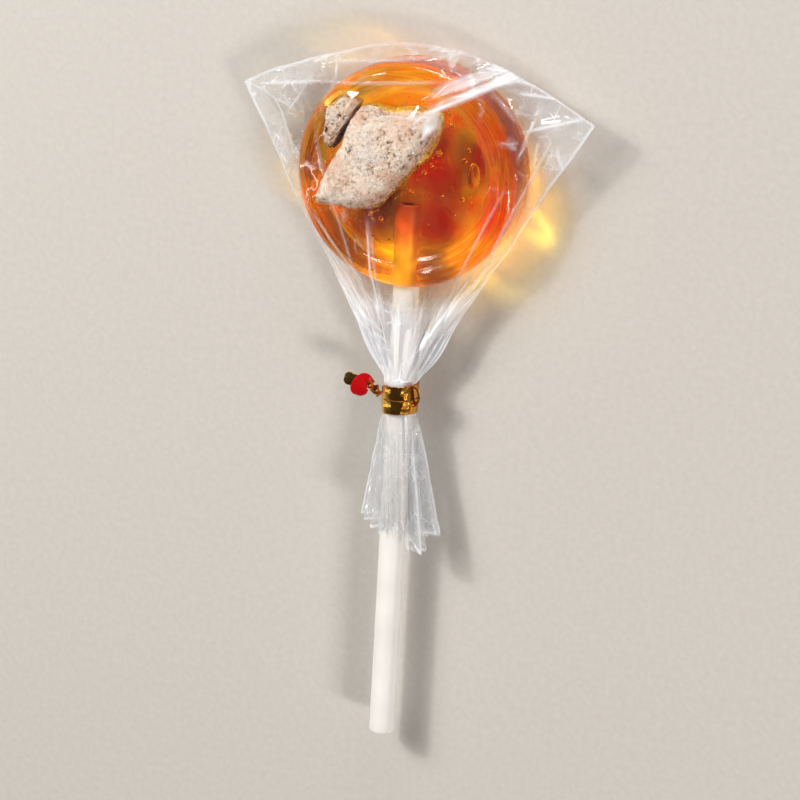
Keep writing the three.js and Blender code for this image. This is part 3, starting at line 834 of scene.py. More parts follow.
def make_candy(around=320, face_rows=120, side_rows=30, back_rows=90):
    """Rings from the middle of the back to the middle of the face. The back's edge is a quarter round,
    and the side swells by a share of a half wave of its height. The outline has slow waves."""
    angle = full_turn(around)
    cosine, sine = np.cos(angle), np.sin(angle)
    wobble = 1 + waves(angle, OUTLINE_WAVES) - OUTLINE_SHRUNK
    edge_turn = np.linspace(0, math.pi / 2, 9)[1:, None]
    back_out = np.linspace(0, DISC_RADIUS - BACK_EDGE, back_rows)[1:, None]
    edge_out = DISC_RADIUS - BACK_EDGE + BACK_EDGE * np.sin(edge_turn)
    edge_z = BACK_Z + BACK_EDGE * (1 - np.cos(edge_turn))
    face_out = DISC_RADIUS * np.linspace(1, 0, face_rows)[:-1, None]
    face_z = candy_face(face_out * cosine * wobble, face_out * sine * wobble)
    climb = np.linspace(0, 1, side_rows)[1:-1, None]
    side_z = mix(BACK_Z + BACK_EDGE, face_z[:1], climb)
    side_out = DISC_RADIUS + SIDE_SWELLING * np.sin(math.pi * climb)
    out = np.concatenate([back_out, edge_out, side_out, face_out]) * wobble
    back_z = np.full((len(back_out), around), BACK_Z)
    z = np.concatenate([back_z, edge_z + 0 * angle, side_z, face_z])
    rings = np.stack([out * cosine, out * sine, z], -1).reshape(-1, 3)
    poles = np.array([[0, 0, BACK_Z], [0, 0, float(candy_face(0.0, 0.0))]])
    points = np.concatenate([rings, poles])
    faces = closed_faces(len(out), around)
    piece = make_piece("candy_disc_clear", points, faces, candy_finish, ["candy_disc"])
    paint(piece, "matt", 1 - smooth(BACK_Z + 1.0, BACK_Z + 6.0, points[:, 2]))
    light, browning_and_painted_shade = gathered_light(points)
    paint(piece, "gather", light)
    paint(piece, "stain_and_painted_shade", browning_and_painted_shade)
    print(f"light gathered from {light.min():.2f} to {light.max():.2f} of plain light")
    return piece


make_candy()

# %% [markdown]
# ## Bubbles
# Boiling leaves small bubbles in the candy, and more cling to the fruit, so most are by its edge. A
# bubble is air inside the sugar, so light meets it the other way round from a glass bead: the ratio
# of the two indexes of refraction is turned over. A few dozen faces are enough for each.

# %% Bubble finish
bubble_finish, tree = new_material("air_in_sugar_glass")
pocket = add(tree, "ShaderNodeBsdfGlass", IOR=1 / CANDY_IOR, Roughness=0.0)
add(tree, "ShaderNodeOutputMaterial", Surface=pocket.outputs["BSDF"])
print(f"{bubble_finish.name}: {len(tree.nodes)} nodes")


# %% Small round beads at many places
def beads(places, radii, around=10, levels=6):
    """A closed ball at each place, as one array of points and its faces: rings of latitude between
    two poles, the same for all, scaled and moved."""
    level = np.linspace(-90, 90, levels + 2)[1:-1, None] * math.pi / 180
    turn = full_turn(around)
    ring = np.stack(
        [np.cos(level) * np.cos(turn), np.cos(level) * np.sin(turn), np.sin(level) + 0 * turn], -1
    )
    ball = np.concatenate([ring.reshape(-1, 3), [[0, 0, -1.0], [0, 0, 1.0]]])
    quads, first_fan, last_fan = closed_faces(levels, around)
    triangles = np.concatenate([first_fan, last_fan])
    points = places[:, None] + radii[:, None, None] * ball
    shift = np.arange(len(places))[:, None, None] * len(ball)
    return points, [(quads + shift).reshape(-1, 4), (triangles + shift).reshape(-1, 3)]


# %% Scatter the bubbles
BUBBLE_COUNT = 260
LARGE_BUBBLE = np.array([11.6, 1.0, 7.2])
LARGE_BUBBLE_HALF = np.array([1.2, 2.4, 0.8])
SMALLEST_BUBBLE = 0.1
BUBBLE_SPREAD = 0.42
UNDER_FACE = 0.25
OVER_BACK = 0.4


def make_bubbles():
    """Bubbles in the disc, kept off the stick and the fruit: two in five anywhere, the others by the
    plum's lower right edge. Their radius is a draw to the fourth power, so that small ones are far
    more common. One large bubble at the right was drawn out long."""
    draw = np.random.default_rng(17)
    out = DISC_RADIUS * 0.76 * np.sqrt(draw.uniform(0.05, 1, BUBBLE_COUNT))
    turn = draw.uniform(0, 2 * math.pi, BUBBLE_COUNT)
    x, y = out * np.cos(turn), out * np.sin(turn)
    by_fruit = np.arange(BUBBLE_COUNT) % 5 < 3
    turn = draw.uniform(-2.3, 1.2, BUBBLE_COUNT)
    out = plum_reach(PLUM, turn) + 0.6 + draw.exponential(0.9, BUBBLE_COUNT)
    x = np.where(by_fruit, PLUM["middle"][0] + out * np.cos(turn), x)
    y = np.where(by_fruit, PLUM["middle"][1] + out * np.sin(turn), y)
    radius = SMALLEST_BUBBLE + BUBBLE_SPREAD * draw.uniform(0, 1, BUBBLE_COUNT) ** 4
    roof = candy_face(x, y) - radius - UNDER_FACE
    z = mix(BACK_Z + radius + OVER_BACK, roof, draw.uniform(0.3, 1, BUBBLE_COUNT))
    off_stick = (np.abs(x) > STICK_RADIUS + 0.8) | (y > STICK_TOP_Y + 1)
    off_fruit = np.minimum(plum_distance(PLUM, x, y), plum_distance(SLIVER, x, y)) > radius + 0.5
    free = off_stick & off_fruit
    places = np.concatenate([np.stack([x, y, z], -1)[free], [LARGE_BUBBLE]])
    points, faces = beads(places, np.append(radius[free], 1.0))
    points[-1] = LARGE_BUBBLE + (points[-1] - LARGE_BUBBLE) * LARGE_BUBBLE_HALF
    return make_piece("candy_bubbles", points, faces, bubble_finish)


make_bubbles()

# %% [markdown]
# ## The stick
# Such sticks are extruded white plastic or rolled paper: a tube with a small bore, cut square, its
# lips a little rounded by the knife. A closed outline of the wall, carried round the stick's axis,
# gives outside, lips and bore in one surface.
# The light that reaches its sunk end has come a long way through the candy from all sides. Straight
# shadow rays miss that, so the sunk end is tinted by a number kept for its points: golden where it
# goes into the candy, browner further in, and amber again on the lips of its open end, which light
# reaches more easily.

# %% White tube finish
# Extruded polypropylene is smooth and lets light in a little. The die leaves fine lines along it,
# drawn as coarse as they need to be to show, and clouds keep the white from being quite even. Both
# widths are in mm. From a quarter sunk on, the amber covers the white in full.
DIE_LINE_WIDTH = 10 / 15
CLOUD_WIDTH = 100 / 12
AMBER_COVERS = 4.0

stick_finish, tree = new_material("extruded_white_polypropylene")
place = add(tree, "ShaderNodeTexCoord").outputs["Object"]
stretched = add(tree, "ShaderNodeMapping", Vector=place, Scale=(1.0, 0.06, 1.0)).outputs["Vector"]
die_lines = add(
    tree, "ShaderNodeTexNoise", Vector=stretched, Scale=pattern_scale(DIE_LINE_WIDTH), Detail=3.0
).outputs["Fac"]
clouds = add(
    tree, "ShaderNodeTexNoise", Vector=place, Scale=pattern_scale(CLOUD_WIDTH), Detail=2.0
).outputs["Fac"]
white = add(
    tree, "ShaderNodeValToRGB", stops=((0.35, "#F1EFEE"), (0.65, "#F8F7F6")), _0=clouds
).outputs["Color"]
sunk = add(tree, "ShaderNodeAttribute", {"attribute_name": "sunk"}).outputs["Fac"]
amber = add(
    tree, "ShaderNodeValToRGB", _0=sunk,
    stops=((0.3, "#FABE34"), (0.48, "#D87C1C"), (0.65, "#B04A10"), (0.88, "#94300A"), (1.0, "#C85A1C")),
).outputs["Color"]
covered = add(
    tree, "ShaderNodeMath", {"operation": "MULTIPLY", "use_clamp": True}, _0=sunk, _1=AMBER_COVERS
).outputs[0]
tinted = add(tree, "ShaderNodeMix", {"data_type": "RGBA"}, _0=covered, _6=white, _7=amber).outputs[2]
bump = add(
    tree, "ShaderNodeBump", Height=die_lines, Strength=0.35, Distance=0.03 * MM
).outputs["Normal"]
finish = add(
    tree, "ShaderNodeBsdfPrincipled", Base_Color=tinted, Roughness=0.36, Normal=bump,
    Subsurface_Weight=0.2, Subsurface_Scale=1.0, Subsurface_Radius=(1.2 * MM, 1.1 * MM, 1.0 * MM),
)
add(tree, "ShaderNodeOutputMaterial", Surface=finish.outputs["BSDF"])
print(f"{stick_finish.name}: {len(tree.nodes)} nodes")

# %% The tube
BORE_RADIUS = 1.1
LIP_RADIUS = 0.22
SUNK_SHALLOW = 0.3
SUNK_DEEP = 0.88


def lip(middle_out, middle_y, from_turn, to_turn, steps=5):
    """A quarter round of the wall's outline, as (distance from the axis, y) pairs."""
    turn = np.radians(np.linspace(from_turn, to_turn, steps))
    return np.stack([middle_out + LIP_RADIUS * np.cos(turn), middle_y + LIP_RADIUS * np.sin(turn)], -1)


def make_stick(around=72, rows=60):
    """The wall's outline runs down the outside, round the lower lips, up the bore and round the upper
    lips. Each of its points is carried round the axis. How far a point is sunk in the candy rises
    from the disc's edge to the open end, whose lips get the highest value."""
    top, end = STICK_TOP_Y - LIP_RADIUS, STICK_END_Y + LIP_RADIUS
    outer, inner = STICK_RADIUS - LIP_RADIUS, BORE_RADIUS + LIP_RADIUS
    run = np.linspace(top, end, rows)[1:-1]
    outline = np.concatenate(
        [
            lip(outer, top, 90, 0),
            np.stack([np.full(len(run), STICK_RADIUS), run], -1),
            lip(outer, end, 0, -90),
            lip(inner, end, -90, -180),
            np.stack([np.full(len(run), BORE_RADIUS), run[::-1]], -1),
            lip(inner, top, 180, 90),
        ]
    )
    turn = full_turn(around)
    out, y = outline[:, :1], outline[:, 1:] + 0 * turn
    out = out + 0.02 * noise(np.cos(turn) * 2, y, np.sin(turn) * 2, 6.0, 9)
    points = np.stack([out * np.cos(turn), y, STICK_Z + out * np.sin(turn)], -1)
    faces = [grid_quads(len(outline), around, loop=True)]
    piece = make_piece("stick_tube", points, faces, stick_finish, ["stick"])
    in_candy = smooth(-0.3, 0.3, y + DISC_RADIUS)
    sunk = mix(SUNK_SHALLOW, SUNK_DEEP, smooth(-16, STICK_TOP_Y, y)) * in_candy
    paint(piece, "sunk", np.maximum(sunk, smooth(-0.25, -0.05, y - STICK_TOP_Y)))
    return piece


make_stick()

# %% [markdown]
# ## The film bag's form
# The bag is two plies of clear polypropylene, welded along the sides and the top and gathered at the
# neck. Film hardly stretches, so between the things that hold it up it runs straight: it lies on the
# candy's rim and on the plum and goes from there in tents to its welds.
# That taut shape is found by relaxing: every point moves again and again to the mean of its four
# neighbours, but never below what lies under it. It is done on a coarse grid first and then on finer
# ones, so that it settles quickly.

# %% The bag's outline
BAG_HALF_WIDTH = 33.0
BAG_CORNER_Y = 12.5
BAG_TOP_Y = 23.2
BAG_TOP_CURVE = 1.6
NECK_RADIUS = 3.05
NECK_Y = -37.9
CORNER_LIFT = 2.4
CORNER_DROP = 1.6
EDGE_WANDER = 0.45


def bag_grid(rows, columns):
    """Points of one ply, from the top weld to the neck. A column keeps its side, from 1 at the right
    to -1 at the left, which is the cosine of its turn round the bag. The width narrows evenly to the
    neck, and the top weld drops towards both corners by a power of the side. The edges were cut by
    hand, so they wander a little."""
    share = np.linspace(1, 0, rows)[:, None]
    turn = np.linspace(0, math.pi, columns)[None, :]
    side = np.cos(turn)
    x = side * mix(NECK_RADIUS, BAG_HALF_WIDTH, share)
    top_y = mix(BAG_TOP_Y, BAG_CORNER_Y, np.abs(side) ** BAG_TOP_CURVE)
    y = mix(NECK_Y, top_y, share)
    wander = EDGE_WANDER * smooth(0.1, 0.4, share)
    wander_x = wander * (noise(x, y, 0.0, 7.0, 81) - np.sign(side))
    wander_y = wander * (noise(x, y, 0.0, 7.0, 83) - 1)
    return share, turn, x + wander_x * side**2, y + wander_y * share


def weld_height(x):
    """Height of the welds: the middle of the stick, with the right corner curled up and the left one
    down, by the fifth power of the distance from the middle."""
    curl = np.where(x > 0, CORNER_LIFT, -CORNER_DROP)
    ripple = EDGE_WANDER * noise(x, 0.0, 0.0, 4.5, 87) * smooth(6, 14, np.abs(x))
    return STICK_Z + curl * (np.abs(x) / BAG_HALF_WIDTH) ** 5 + ripple


# %% What the film lies on
FILM_CLEARANCE = 0.15
PLUM_CLEARANCE = 0.55
TABLE_CLEARANCE = 0.06
NOTHING = -99.0


def contents_top(x, y):
    """Height of the highest thing under the upper ply, or a long way down where there is nothing."""
    candy = np.where(np.hypot(x, y) < DISC_RADIUS, candy_face(x, y) + FILM_CLEARANCE, NOTHING)
    held_up = np.maximum(0, (STICK_RADIUS + FILM_CLEARANCE) ** 2 - x**2)
    stick = np.where((held_up > 0) & (y < -DISC_RADIUS), STICK_Z + np.sqrt(held_up), NOTHING)
    fruit = np.maximum(plum_top(PLUM, x, y), plum_top(SLIVER, x, y)) + PLUM_CLEARANCE
    return np.maximum(np.maximum(candy, stick), fruit)


def contents_bottom(x, y):
    """Height of the lowest thing over the lower ply, or a long way up where there is nothing."""
    under = np.where(np.hypot(x, y) < DISC_RADIUS - BACK_EDGE, TABLE_CLEARANCE, -NOTHING)
    side = np.where(np.hypot(x, y) < DISC_RADIUS + FILM_CLEARANCE, BACK_Z + BACK_EDGE, -NOTHING)
    held_down = np.maximum(0, (STICK_RADIUS + FILM_CLEARANCE) ** 2 - x**2)
    stick = np.where((held_down > 0) & (y < -DISC_RADIUS), STICK_Z - np.sqrt(held_down), -NOTHING)
    return np.minimum(np.minimum(under, side), stick)


# %% Stretch a ply over it
TINY = 1e-6


def relax(height, obstacle, x, y, sweeps):
    """Moves each inner point to the mean of its neighbours, each weighted by one over its distance and
    over the span it shares, and lifts it onto the obstacle where it would sink in."""
    right = np.abs(x[1:-1, :-2] - x[1:-1, 1:-1]) + TINY
    left = np.abs(x[1:-1, 2:] - x[1:-1, 1:-1]) + TINY
    step = np.abs(y[2:, 1:-1] - y[:-2, 1:-1]) / 2
    weights = [1 / (right * (right + left)), 1 / (left * (right + left)), 0.5 / step**2, 0.5 / step**2]
    total = sum(weights)
    for _ in range(sweeps):
        pull = (
            weights[0] * height[1:-1, :-2]
            + weights[1] * height[1:-1, 2:]
            + weights[2] * height[:-2, 1:-1]
            + weights[3] * height[2:, 1:-1]
        ) / total
        height[1:-1, 1:-1] = np.maximum(pull, obstacle[1:-1, 1:-1])
    return height


def finer(grid):
    """The grid with a point added half way between all neighbours."""
    for _ in range(2):
        wide = np.empty((2 * len(grid) - 1, grid.shape[1]))
        wide[::2] = grid
        wide[1::2] = (grid[:-1] + grid[1:]) / 2
        grid = wide.T
    return grid


def taut_ply(upper, sizes=(46, 91, 181), sweeps=500):
    """Height of the upper or the lower ply on the finest grid. The lower one is found upside down."""
    sign = 1 if upper else -1
    height = None
    for size in sizes:
        share, turn, x, y = bag_grid(size, size)
        lies_on = sign * (contents_top(x, y) if upper else contents_bottom(x, y))
        welds = sign * weld_height(x)
        height = np.maximum(welds, lies_on) if height is None else np.maximum(finer(height), lies_on)
        height[0], height[:, 0], height[:, -1] = welds[0], welds[:, 0], welds[:, -1]
        height[-1] = sign * STICK_Z + NECK_RADIUS * np.sin(turn[0])
        height = relax(height, lies_on, x, y, sweeps)
    return sign * height


upper_ply = taut_ply(upper=True)
lower_ply = taut_ply(upper=False)
print(f"film from {lower_ply.min():.2f} to {upper_ply.max():.2f} mm above the table")

# %% [markdown]
# ## Folds, creases and crumples
# Taut film is smooth. What makes it read as a sweet wrapper is how it was handled: pleats fan out
# from the tie, straight creases stay from packing, and the loose film is crumpled into small flat
# facets that meet in sharp lines. Film bends along lines and stays flat between them, so a fold here
# is a ridge with straight flanks, and the crumples are planes that meet at an angle. A crease also
# turns the film white where it was bent too far, so each form comes with how near a crease a point is.

# %% One straight fold
CREASE_HALF_WIDTH = 0.32


def fold(x, y, start, end, width, rise):
    """Height of a fold along a line and how white it is: the height falls straight to nothing at that
    width on both sides, the white sooner, and both fade over the last quarter at both ends."""
    run_x, run_y = end[0] - start[0], end[1] - start[1]
    length = math.hypot(run_x, run_y)
    along = ((x - start[0]) * run_x + (y - start[1]) * run_y) / length**2
    away = np.abs((x - start[0]) * run_y - (y - start[1]) * run_x) / length
    ends = smooth(0, 0.25, along) * (1 - smooth(0.75, 1, along))
    line = np.maximum(0, 1 - away / max(CREASE_HALF_WIDTH, 0.25 * width))
    return rise * np.maximum(0, 1 - away / width) * ends, line * ends


# %% Crumpled facets
# How far out the spots go, and how wide the crease between two facets is, in mm.
FACET_REACH = 45
FACET_CREASE = 0.5


def facets(x, y, size, seed):
    """Height and nearness to a crease of a crumpled sheet with facets of that size. Squared distance
    to the nearest of some random spots is a bowl, dented along the lines half way between spots. The
    difference between two such bowls leaves no bowl, only planes that meet along the dents. Creases
    run where the nearest two spots are about equally far."""
    draw = np.random.default_rng(seed)
    lattice = np.arange(-FACET_REACH, FACET_REACH + 1, size)
    height, crease = 0.0 * x, 0.0 * x
    for sign in (1, -1):
        nearest, second = np.full(x.shape, np.inf), np.full(x.shape, np.inf)
        for spot_x, spot_y in itertools.product(lattice, lattice):
            dx = x - spot_x - draw.uniform(-0.5, 0.5) * size
            dy = y - spot_y - draw.uniform(-0.5, 0.5) * size
            away = dx**2 + dy**2
            second = np.minimum(second, np.maximum(nearest, away))
            nearest = np.minimum(nearest, away)
        height = height + sign * nearest / size**2
        gap = np.sqrt(second) - np.sqrt(nearest)
        crease = np.maximum(crease, 1 - gap / FACET_CREASE)
    return height, np.maximum(0, crease)


def pleats(turn, count, seed):
    """A zigzag round the bag between 0 and 1, its peaks unevenly spaced and of uneven height."""
    draw = np.random.default_rng(seed)
    knots = np.cumsum(draw.uniform(0.5, 1.5, 2 * count))
    knots = knots / knots[-1] * 2 * math.pi
    heights = np.where(np.arange(2 * count) % 2, draw.uniform(0.55, 1.0, 2 * count), 0.0)
    return np.interp(turn, knots, heights, period=2 * math.pi)


# %% The folds that run far
# Start and end in x and y, half width, height and how white the crease is. Most run up from the tie
# or from the upper corners, and the first two are the pair that crosses the plum's corner.
LONG_FOLDS = (
    ((0.0, 9.9), (24.5, 21.9), 2.6, 1.7, 1.0),
    ((5.5, 14.2), (24.0, 20.0), 1.6, 0.7, 0.6),
    ((-6.1, -6.6), (-4.0, -30.0), 0.7, 0.3, 0.9),
    ((-5.6, -7.4), (-2.6, -30.0), 0.6, 0.2, 0.35),
    ((9.5, 19.5), (13.5, 14.0), 0.6, 0.25, 0.7),
    ((-17.5, 10.0), (-2.6, -34.0), 0.8, 0.3, 0.35),
    ((19.5, 3.0), (3.4, -33.0), 0.8, 0.35, 0.4),
    ((-22.0, 14.0), (9.0, 17.6), 1.0, 0.35, 0.5),
    ((-19.5, 1.0), (-27.0, 12.0), 1.4, 0.6, 0.5),
    ((19.0, 9.5), (32.0, 13.5), 1.6, 0.8, 0.8),
    ((-15.0, 15.0), (-31.0, 12.0), 1.6, 0.8, 0.7),
    ((-20.0, 8.5), (-32.0, 12.3), 1.2, 0.5, 0.5),
    ((13.0, 17.5), (20.0, 10.5), 1.0, 0.4, 0.5),
    ((26.0, 11.0), (14.2, -16.5), 0.8, 0.35, 0.6),
    ((-17.6, -6.5), (-6.2, -20.5), 0.6, 0.25, 0.5),
    ((-21.0, 17.2), (11.0, 22.0), 0.7, 0.3, 0.5),
    ((5.2, 10.9), (-7.0, 10.5), 1.3, 0.15, 0.45),
)


FOLD_FOOT_X = 2.6


def packing_folds(seed, below=30, above=18):
    """Folds left by packing, scattered by a seeded draw: fine ones from under the disc to the neck,
    and short ones in all directions in the loose film above the disc and beside it."""
    draw = np.random.default_rng(seed)
    folds = []
    for turn in np.radians(draw.uniform(192, 348, below)):
        start = (DISC_RADIUS * math.cos(turn), DISC_RADIUS * math.sin(turn) - draw.uniform(0, 6))
        end = (FOLD_FOOT_X * math.cos(turn), NECK_Y + draw.uniform(1, 6))
        folds.append((start, end, 0.6, 0.2, draw.uniform(0.4, 1.0)))
    for turn in np.radians(draw.uniform(-10, 200, above)):
        middle = np.array([math.cos(turn), math.sin(turn)]) * (DISC_RADIUS + draw.uniform(2, 8))
        aim = turn + draw.uniform(0.5, 2.6)
        half_run = np.array([math.cos(aim), math.sin(aim)]) * draw.uniform(2, 6)
        folds.append((middle - half_run, middle + half_run, 0.7, 0.3, draw.uniform(0.3, 0.8)))
    return tuple(folds)


print(f"{len(LONG_FOLDS)} long folds, and {len(packing_folds(73))} left by packing in each ply")


# %% Facets and folds together
# Size and height in mm and whiteness of the wide facets, the fine ones and the fan's near the neck,
# then the fan's half width and length.
WIDE_FACET, WIDE_HEIGHT, WIDE_WHITE = 7.0, 1.1, 0.75
FINE_FACET, FINE_HEIGHT, FINE_WHITE = 3.2, 0.3, 0.55
FAN_FACET, FAN_HEIGHT, FAN_WHITE = 3.0, 0.8, 0.8
FAN_ACROSS, FAN_ALONG = 26, 22


def crumples(x, y, side, share, loose, off_disc, seed, long_folds):
    """Adds up facets of two sizes in the loose film, facets drawn out towards the tie in their place
    near the neck, and the long folds. The second value is how white the creases are: those of facets
    come and go in patches and streaks, as noise does."""
    wide, wide_crease = facets(x, y, WIDE_FACET, seed)
    fine, fine_crease = facets(x, y, FINE_FACET, seed + 1)
    fan, fan_crease = facets(side * FAN_ACROSS, share * FAN_ALONG, FAN_FACET, seed + 2)
    at_neck = 1 - smooth(0.25, 0.7, share)
    patchy = smooth(-0.3, 0.5, noise(x, y, 0.0, 9.0, seed + 3))
    streaky = smooth(0.05, 0.7, noise(x, y, 0.0, 2.6, seed + 5))
    in_pouch = WIDE_HEIGHT * wide * (1 - at_neck) + FINE_HEIGHT * fine * patchy
    height = loose * (in_pouch + FAN_HEIGHT * fan * at_neck)
    white = off_disc * (WIDE_WHITE * wide_crease + FINE_WHITE * fine_crease * patchy) * (1 - at_neck)
    white = (white + FAN_WHITE * fan_crease * at_neck * patchy) * streaky
    for start, end, width, rise, whiteness in long_folds:
        ridge, line = fold(x, y, start, end, width, rise)
        height = height + ridge
        white = np.maximum(white, whiteness * line)
    return height, white


# %% Haze, and painted glare and sheen over the fruit
VEIL_START, VEIL_SLOPE = 9.8, 0.49
GLINT_X, GLINT_Y = 3.6, 10.2
SPUR_X, SPUR_Y = 4.9, 10.6
SHEEN_X, SHEEN_Y = -6.8, 3.6
SHEEN_HALF_X, SHEEN_HALF_Y = 2.2, 4.0


def veil_haze(x, y):
    """Haze of the film that is bunched above the long fold across the plum's corner: a band along the
    fold, streaked along it by noise of two sizes, that fades past the disc's right edge."""
    above_fold = y - VEIL_START - VEIL_SLOPE * x
    streaks = 0.7 + 0.4 * noise(0.25 * x, above_fold, 0.0, 0.9, 63)
    streaks = streaks + 0.5 * noise(0.06 * x, above_fold, 0.0, 0.35, 69)
    veil = smooth(-0.3, 0.6, above_fold) * (1 - smooth(3.0, 7.5, above_fold)) * smooth(3.0, 8.0, x)
    return 3.0 * veil * streaks * (1 - smooth(19.0, 26.0, x))


def painted_corner_glare(x, y):
    """Painted glare, drawn as white on the film over the plum's corner: a glint along the fold that
    splits into rays at its ends, and a spur down from it, each a block with sloping edges cut up by
    noise."""
    along = x - GLINT_X + VEIL_SLOPE * (y - GLINT_Y)
    away = y - GLINT_Y - VEIL_SLOPE * (x - GLINT_X)
    glint = smooth(0.0, 1.0, 2.1 - 0.6 * np.abs(along) - np.abs(away))
    rays = smooth(-0.2, 0.3, noise(0.12 * along, away + 0.3 * np.abs(along), 0.0, 0.42, 61))
    down = 0.5 * (x - SPUR_X) + 0.87 * (y - SPUR_Y)
    beside = 0.87 * (x - SPUR_X) - 0.5 * (y - SPUR_Y)
    spur = smooth(0.0, 1.0, 1.7 - 0.3 * np.abs(down) - 1.1 * np.abs(beside + 0.1 * down))
    cut_spur = 1.2 * spur * (0.8 + 0.5 * noise(0.3 * down, beside, 0.0, 0.5, 65))
    return np.maximum(glint * mix(0.05, 1.2, rays), cut_spur)


def painted_sheen_on_plum(x, y):
    """Painted sheen: patches of white haze on the film over the plum's middle, where it mirrors light."""
    on_plum = bump_at(x, SHEEN_X, SHEEN_HALF_X) * bump_at(y, SHEEN_Y, SHEEN_HALF_Y)
    return 1.6 * on_plum * smooth(-0.3, 0.5, noise(x, y, 0.0, 1.3, 67))


# %% Fold a ply
PLEATS = 19
PLEAT_MIDDLE = 0.35
NECK_PLEAT = 1.5
POUCH_PLEAT = 0.28


def folded_ply(taut, upper, seed, long_folds):
    """The taut ply with its folds, and how white each point's crease is and how hazy the film. Where
    it lies on something it is pressed flat, and there folds only stand outwards. Near the neck the
    pleats push it in and out. Film on the disc is clearer than beside it, and bunched at the neck it
    is hazier. On the upper ply the white also holds painted glare at the plum's corner, and the haze
    a painted sheen over the plum."""
    sign = 1 if upper else -1
    share, turn, x, y = bag_grid(*taut.shape)
    turn = turn if upper else -turn
    lies_on = contents_top(x, y) if upper else contents_bottom(x, y)
    lifted = smooth(0, 1.2, sign * (taut - lies_on))
    off_disc = smooth(DISC_RADIUS - 4.0, DISC_RADIUS + 3.0, np.hypot(x, y))
    loose = lifted * mix(0.22, 1.0, off_disc) + 0.06
    at_weld = smooth(0, 2.5, (1 - np.abs(np.cos(turn))) * mix(NECK_RADIUS, BAG_HALF_WIDTH, share))
    at_weld = at_weld * smooth(0, 0.03, 1 - share)
    height, white = crumples(x, y, np.cos(turn), share, loose, off_disc, seed, long_folds)
    height = taut + sign * height * at_weld * smooth(0.0, 0.2, share)
    height = np.maximum(height, lies_on) if upper else np.minimum(height, lies_on)
    zigzag = pleats(turn, PLEATS, 11) - PLEAT_MIDDLE
    spread = NECK_PLEAT * smooth(0.0, 0.1, share) * (1 - smooth(0.12, 0.34, share))
    spread = spread + POUCH_PLEAT * smooth(0.1, 0.3, share) * (1 - smooth(0.4, 0.75, share)) * at_weld
    x = x + spread * zigzag * np.cos(turn) * (1 - smooth(0.1, 0.25, share))
    height = height + spread * zigzag * np.sin(turn)
    beside_disc = smooth(DISC_RADIUS + 1.0, DISC_RADIUS + 6.0, np.hypot(x, y))
    haze = mix(0.05, 1.0, beside_disc) * mix(2.2, 1.0, smooth(0.1, 0.6, share))
    # Painted glare and painted sheen over the plum, on the upper ply only.
    if upper:
        haze = np.maximum(haze, veil_haze(x, y)) + painted_sheen_on_plum(x, y)
        white = np.maximum(white, painted_corner_glare(x, y))
    haze = haze * (0.7 + 0.3 * noise(x, y, 0.0, 3.0, seed + 4))
    return np.stack([x, y, np.maximum(height, TABLE_CLEARANCE)], -1), white, haze


# %% The loose end below the tie
# The hem's heights are in mm, by degrees round the skirt, which start at its right and go over its
# front. It was cut with one snip that wandered.
SKIRT_TOP_Y = -44.1
SKIRT_HEM_Y = -66.0
SKIRT_HALF_WIDTH = 7.9
SKIRT_HALF_HEIGHT = 5.5
SKIRT_SHIFT = 1.2
SKIRT_FLARE = 0.85
SKIRT_HAZE = 0.7
SKIRT_PLEATS = 21
SKIRT_CREASES = 47
SKIRT_HEM = {0: 0.6, 12: -0.6, 26: -3.6, 36: -1.2, 47: -3.2, 66: 2.6, 90: 0.4, 120: 0.0, 150: 1.2,
             180: 2.6, 215: 0.8, 250: 0.4, 290: -0.8, 325: -1.4}
PLEAT_HANG = 1.4


def skirt_rings(turn, rows):
    """Rings from the neck to the cut edge, and how white their creases are, with painted glare. A ring is
    an ellipse that widens away from the tie, drawn in between its pleats by up to half. The cut edge
    runs from one height of the hem to the next round the ring, and each pleat's ridge hangs a little
    lower. The front has a painted streak of glare below the tie, drawn as white."""
    share = np.linspace(0, 1, rows)[:, None]
    flare = share**SKIRT_FLARE
    half_width = mix(NECK_RADIUS, SKIRT_HALF_WIDTH, flare)
    half_height = mix(NECK_RADIUS, SKIRT_HALF_HEIGHT, flare)
    ellipse = 1 / np.hypot(np.cos(turn) / half_width, np.sin(turn) / half_height)
    wander = 0.05 * noise(3 * np.cos(turn), 3 * np.sin(turn), 4 * share, 3.0, 43)
    zigzag = pleats(turn + wander, SKIRT_PLEATS, 23)
    small = pleats(turn + 2 * wander, SKIRT_CREASES, 29)
    out = ellipse * (1 - 0.6 * smooth(0, 0.3, share) * (1 - zigzag) + 0.1 * flare * (small - 0.5))
    out = out + 0.2 * flare * noise(2 * np.cos(turn), 2 * np.sin(turn), 5 * share, 2.5, 31)
    hem = np.interp(turn, np.radians(list(SKIRT_HEM)), list(SKIRT_HEM.values()), period=2 * math.pi)
    hem_y = SKIRT_HEM_Y + hem - PLEAT_HANG * (pleats(turn, SKIRT_PLEATS, 23) - 0.5)
    out = np.maximum(out, STICK_RADIUS + FILM_CLEARANCE)
    points = np.stack(
        [
            out * np.cos(turn) + SKIRT_SHIFT * flare,
            mix(SKIRT_TOP_Y, hem_y, share),
            np.maximum(STICK_Z + out * np.sin(turn), TABLE_CLEARANCE),
        ],
        -1,
    )
    white = 0.9 * smooth(0.7, 0.95, zigzag) + 0.5 * smooth(0.75, 1.0, small)
    # Painted glare: a white streak on the front below the tie.
    glare = bump_at(np.degrees(turn), 50 - 20 * share, 4.5) * (1 - smooth(0.2, 0.42, share))
    return points, np.maximum(white * smooth(0.02, 0.2, share), glare)


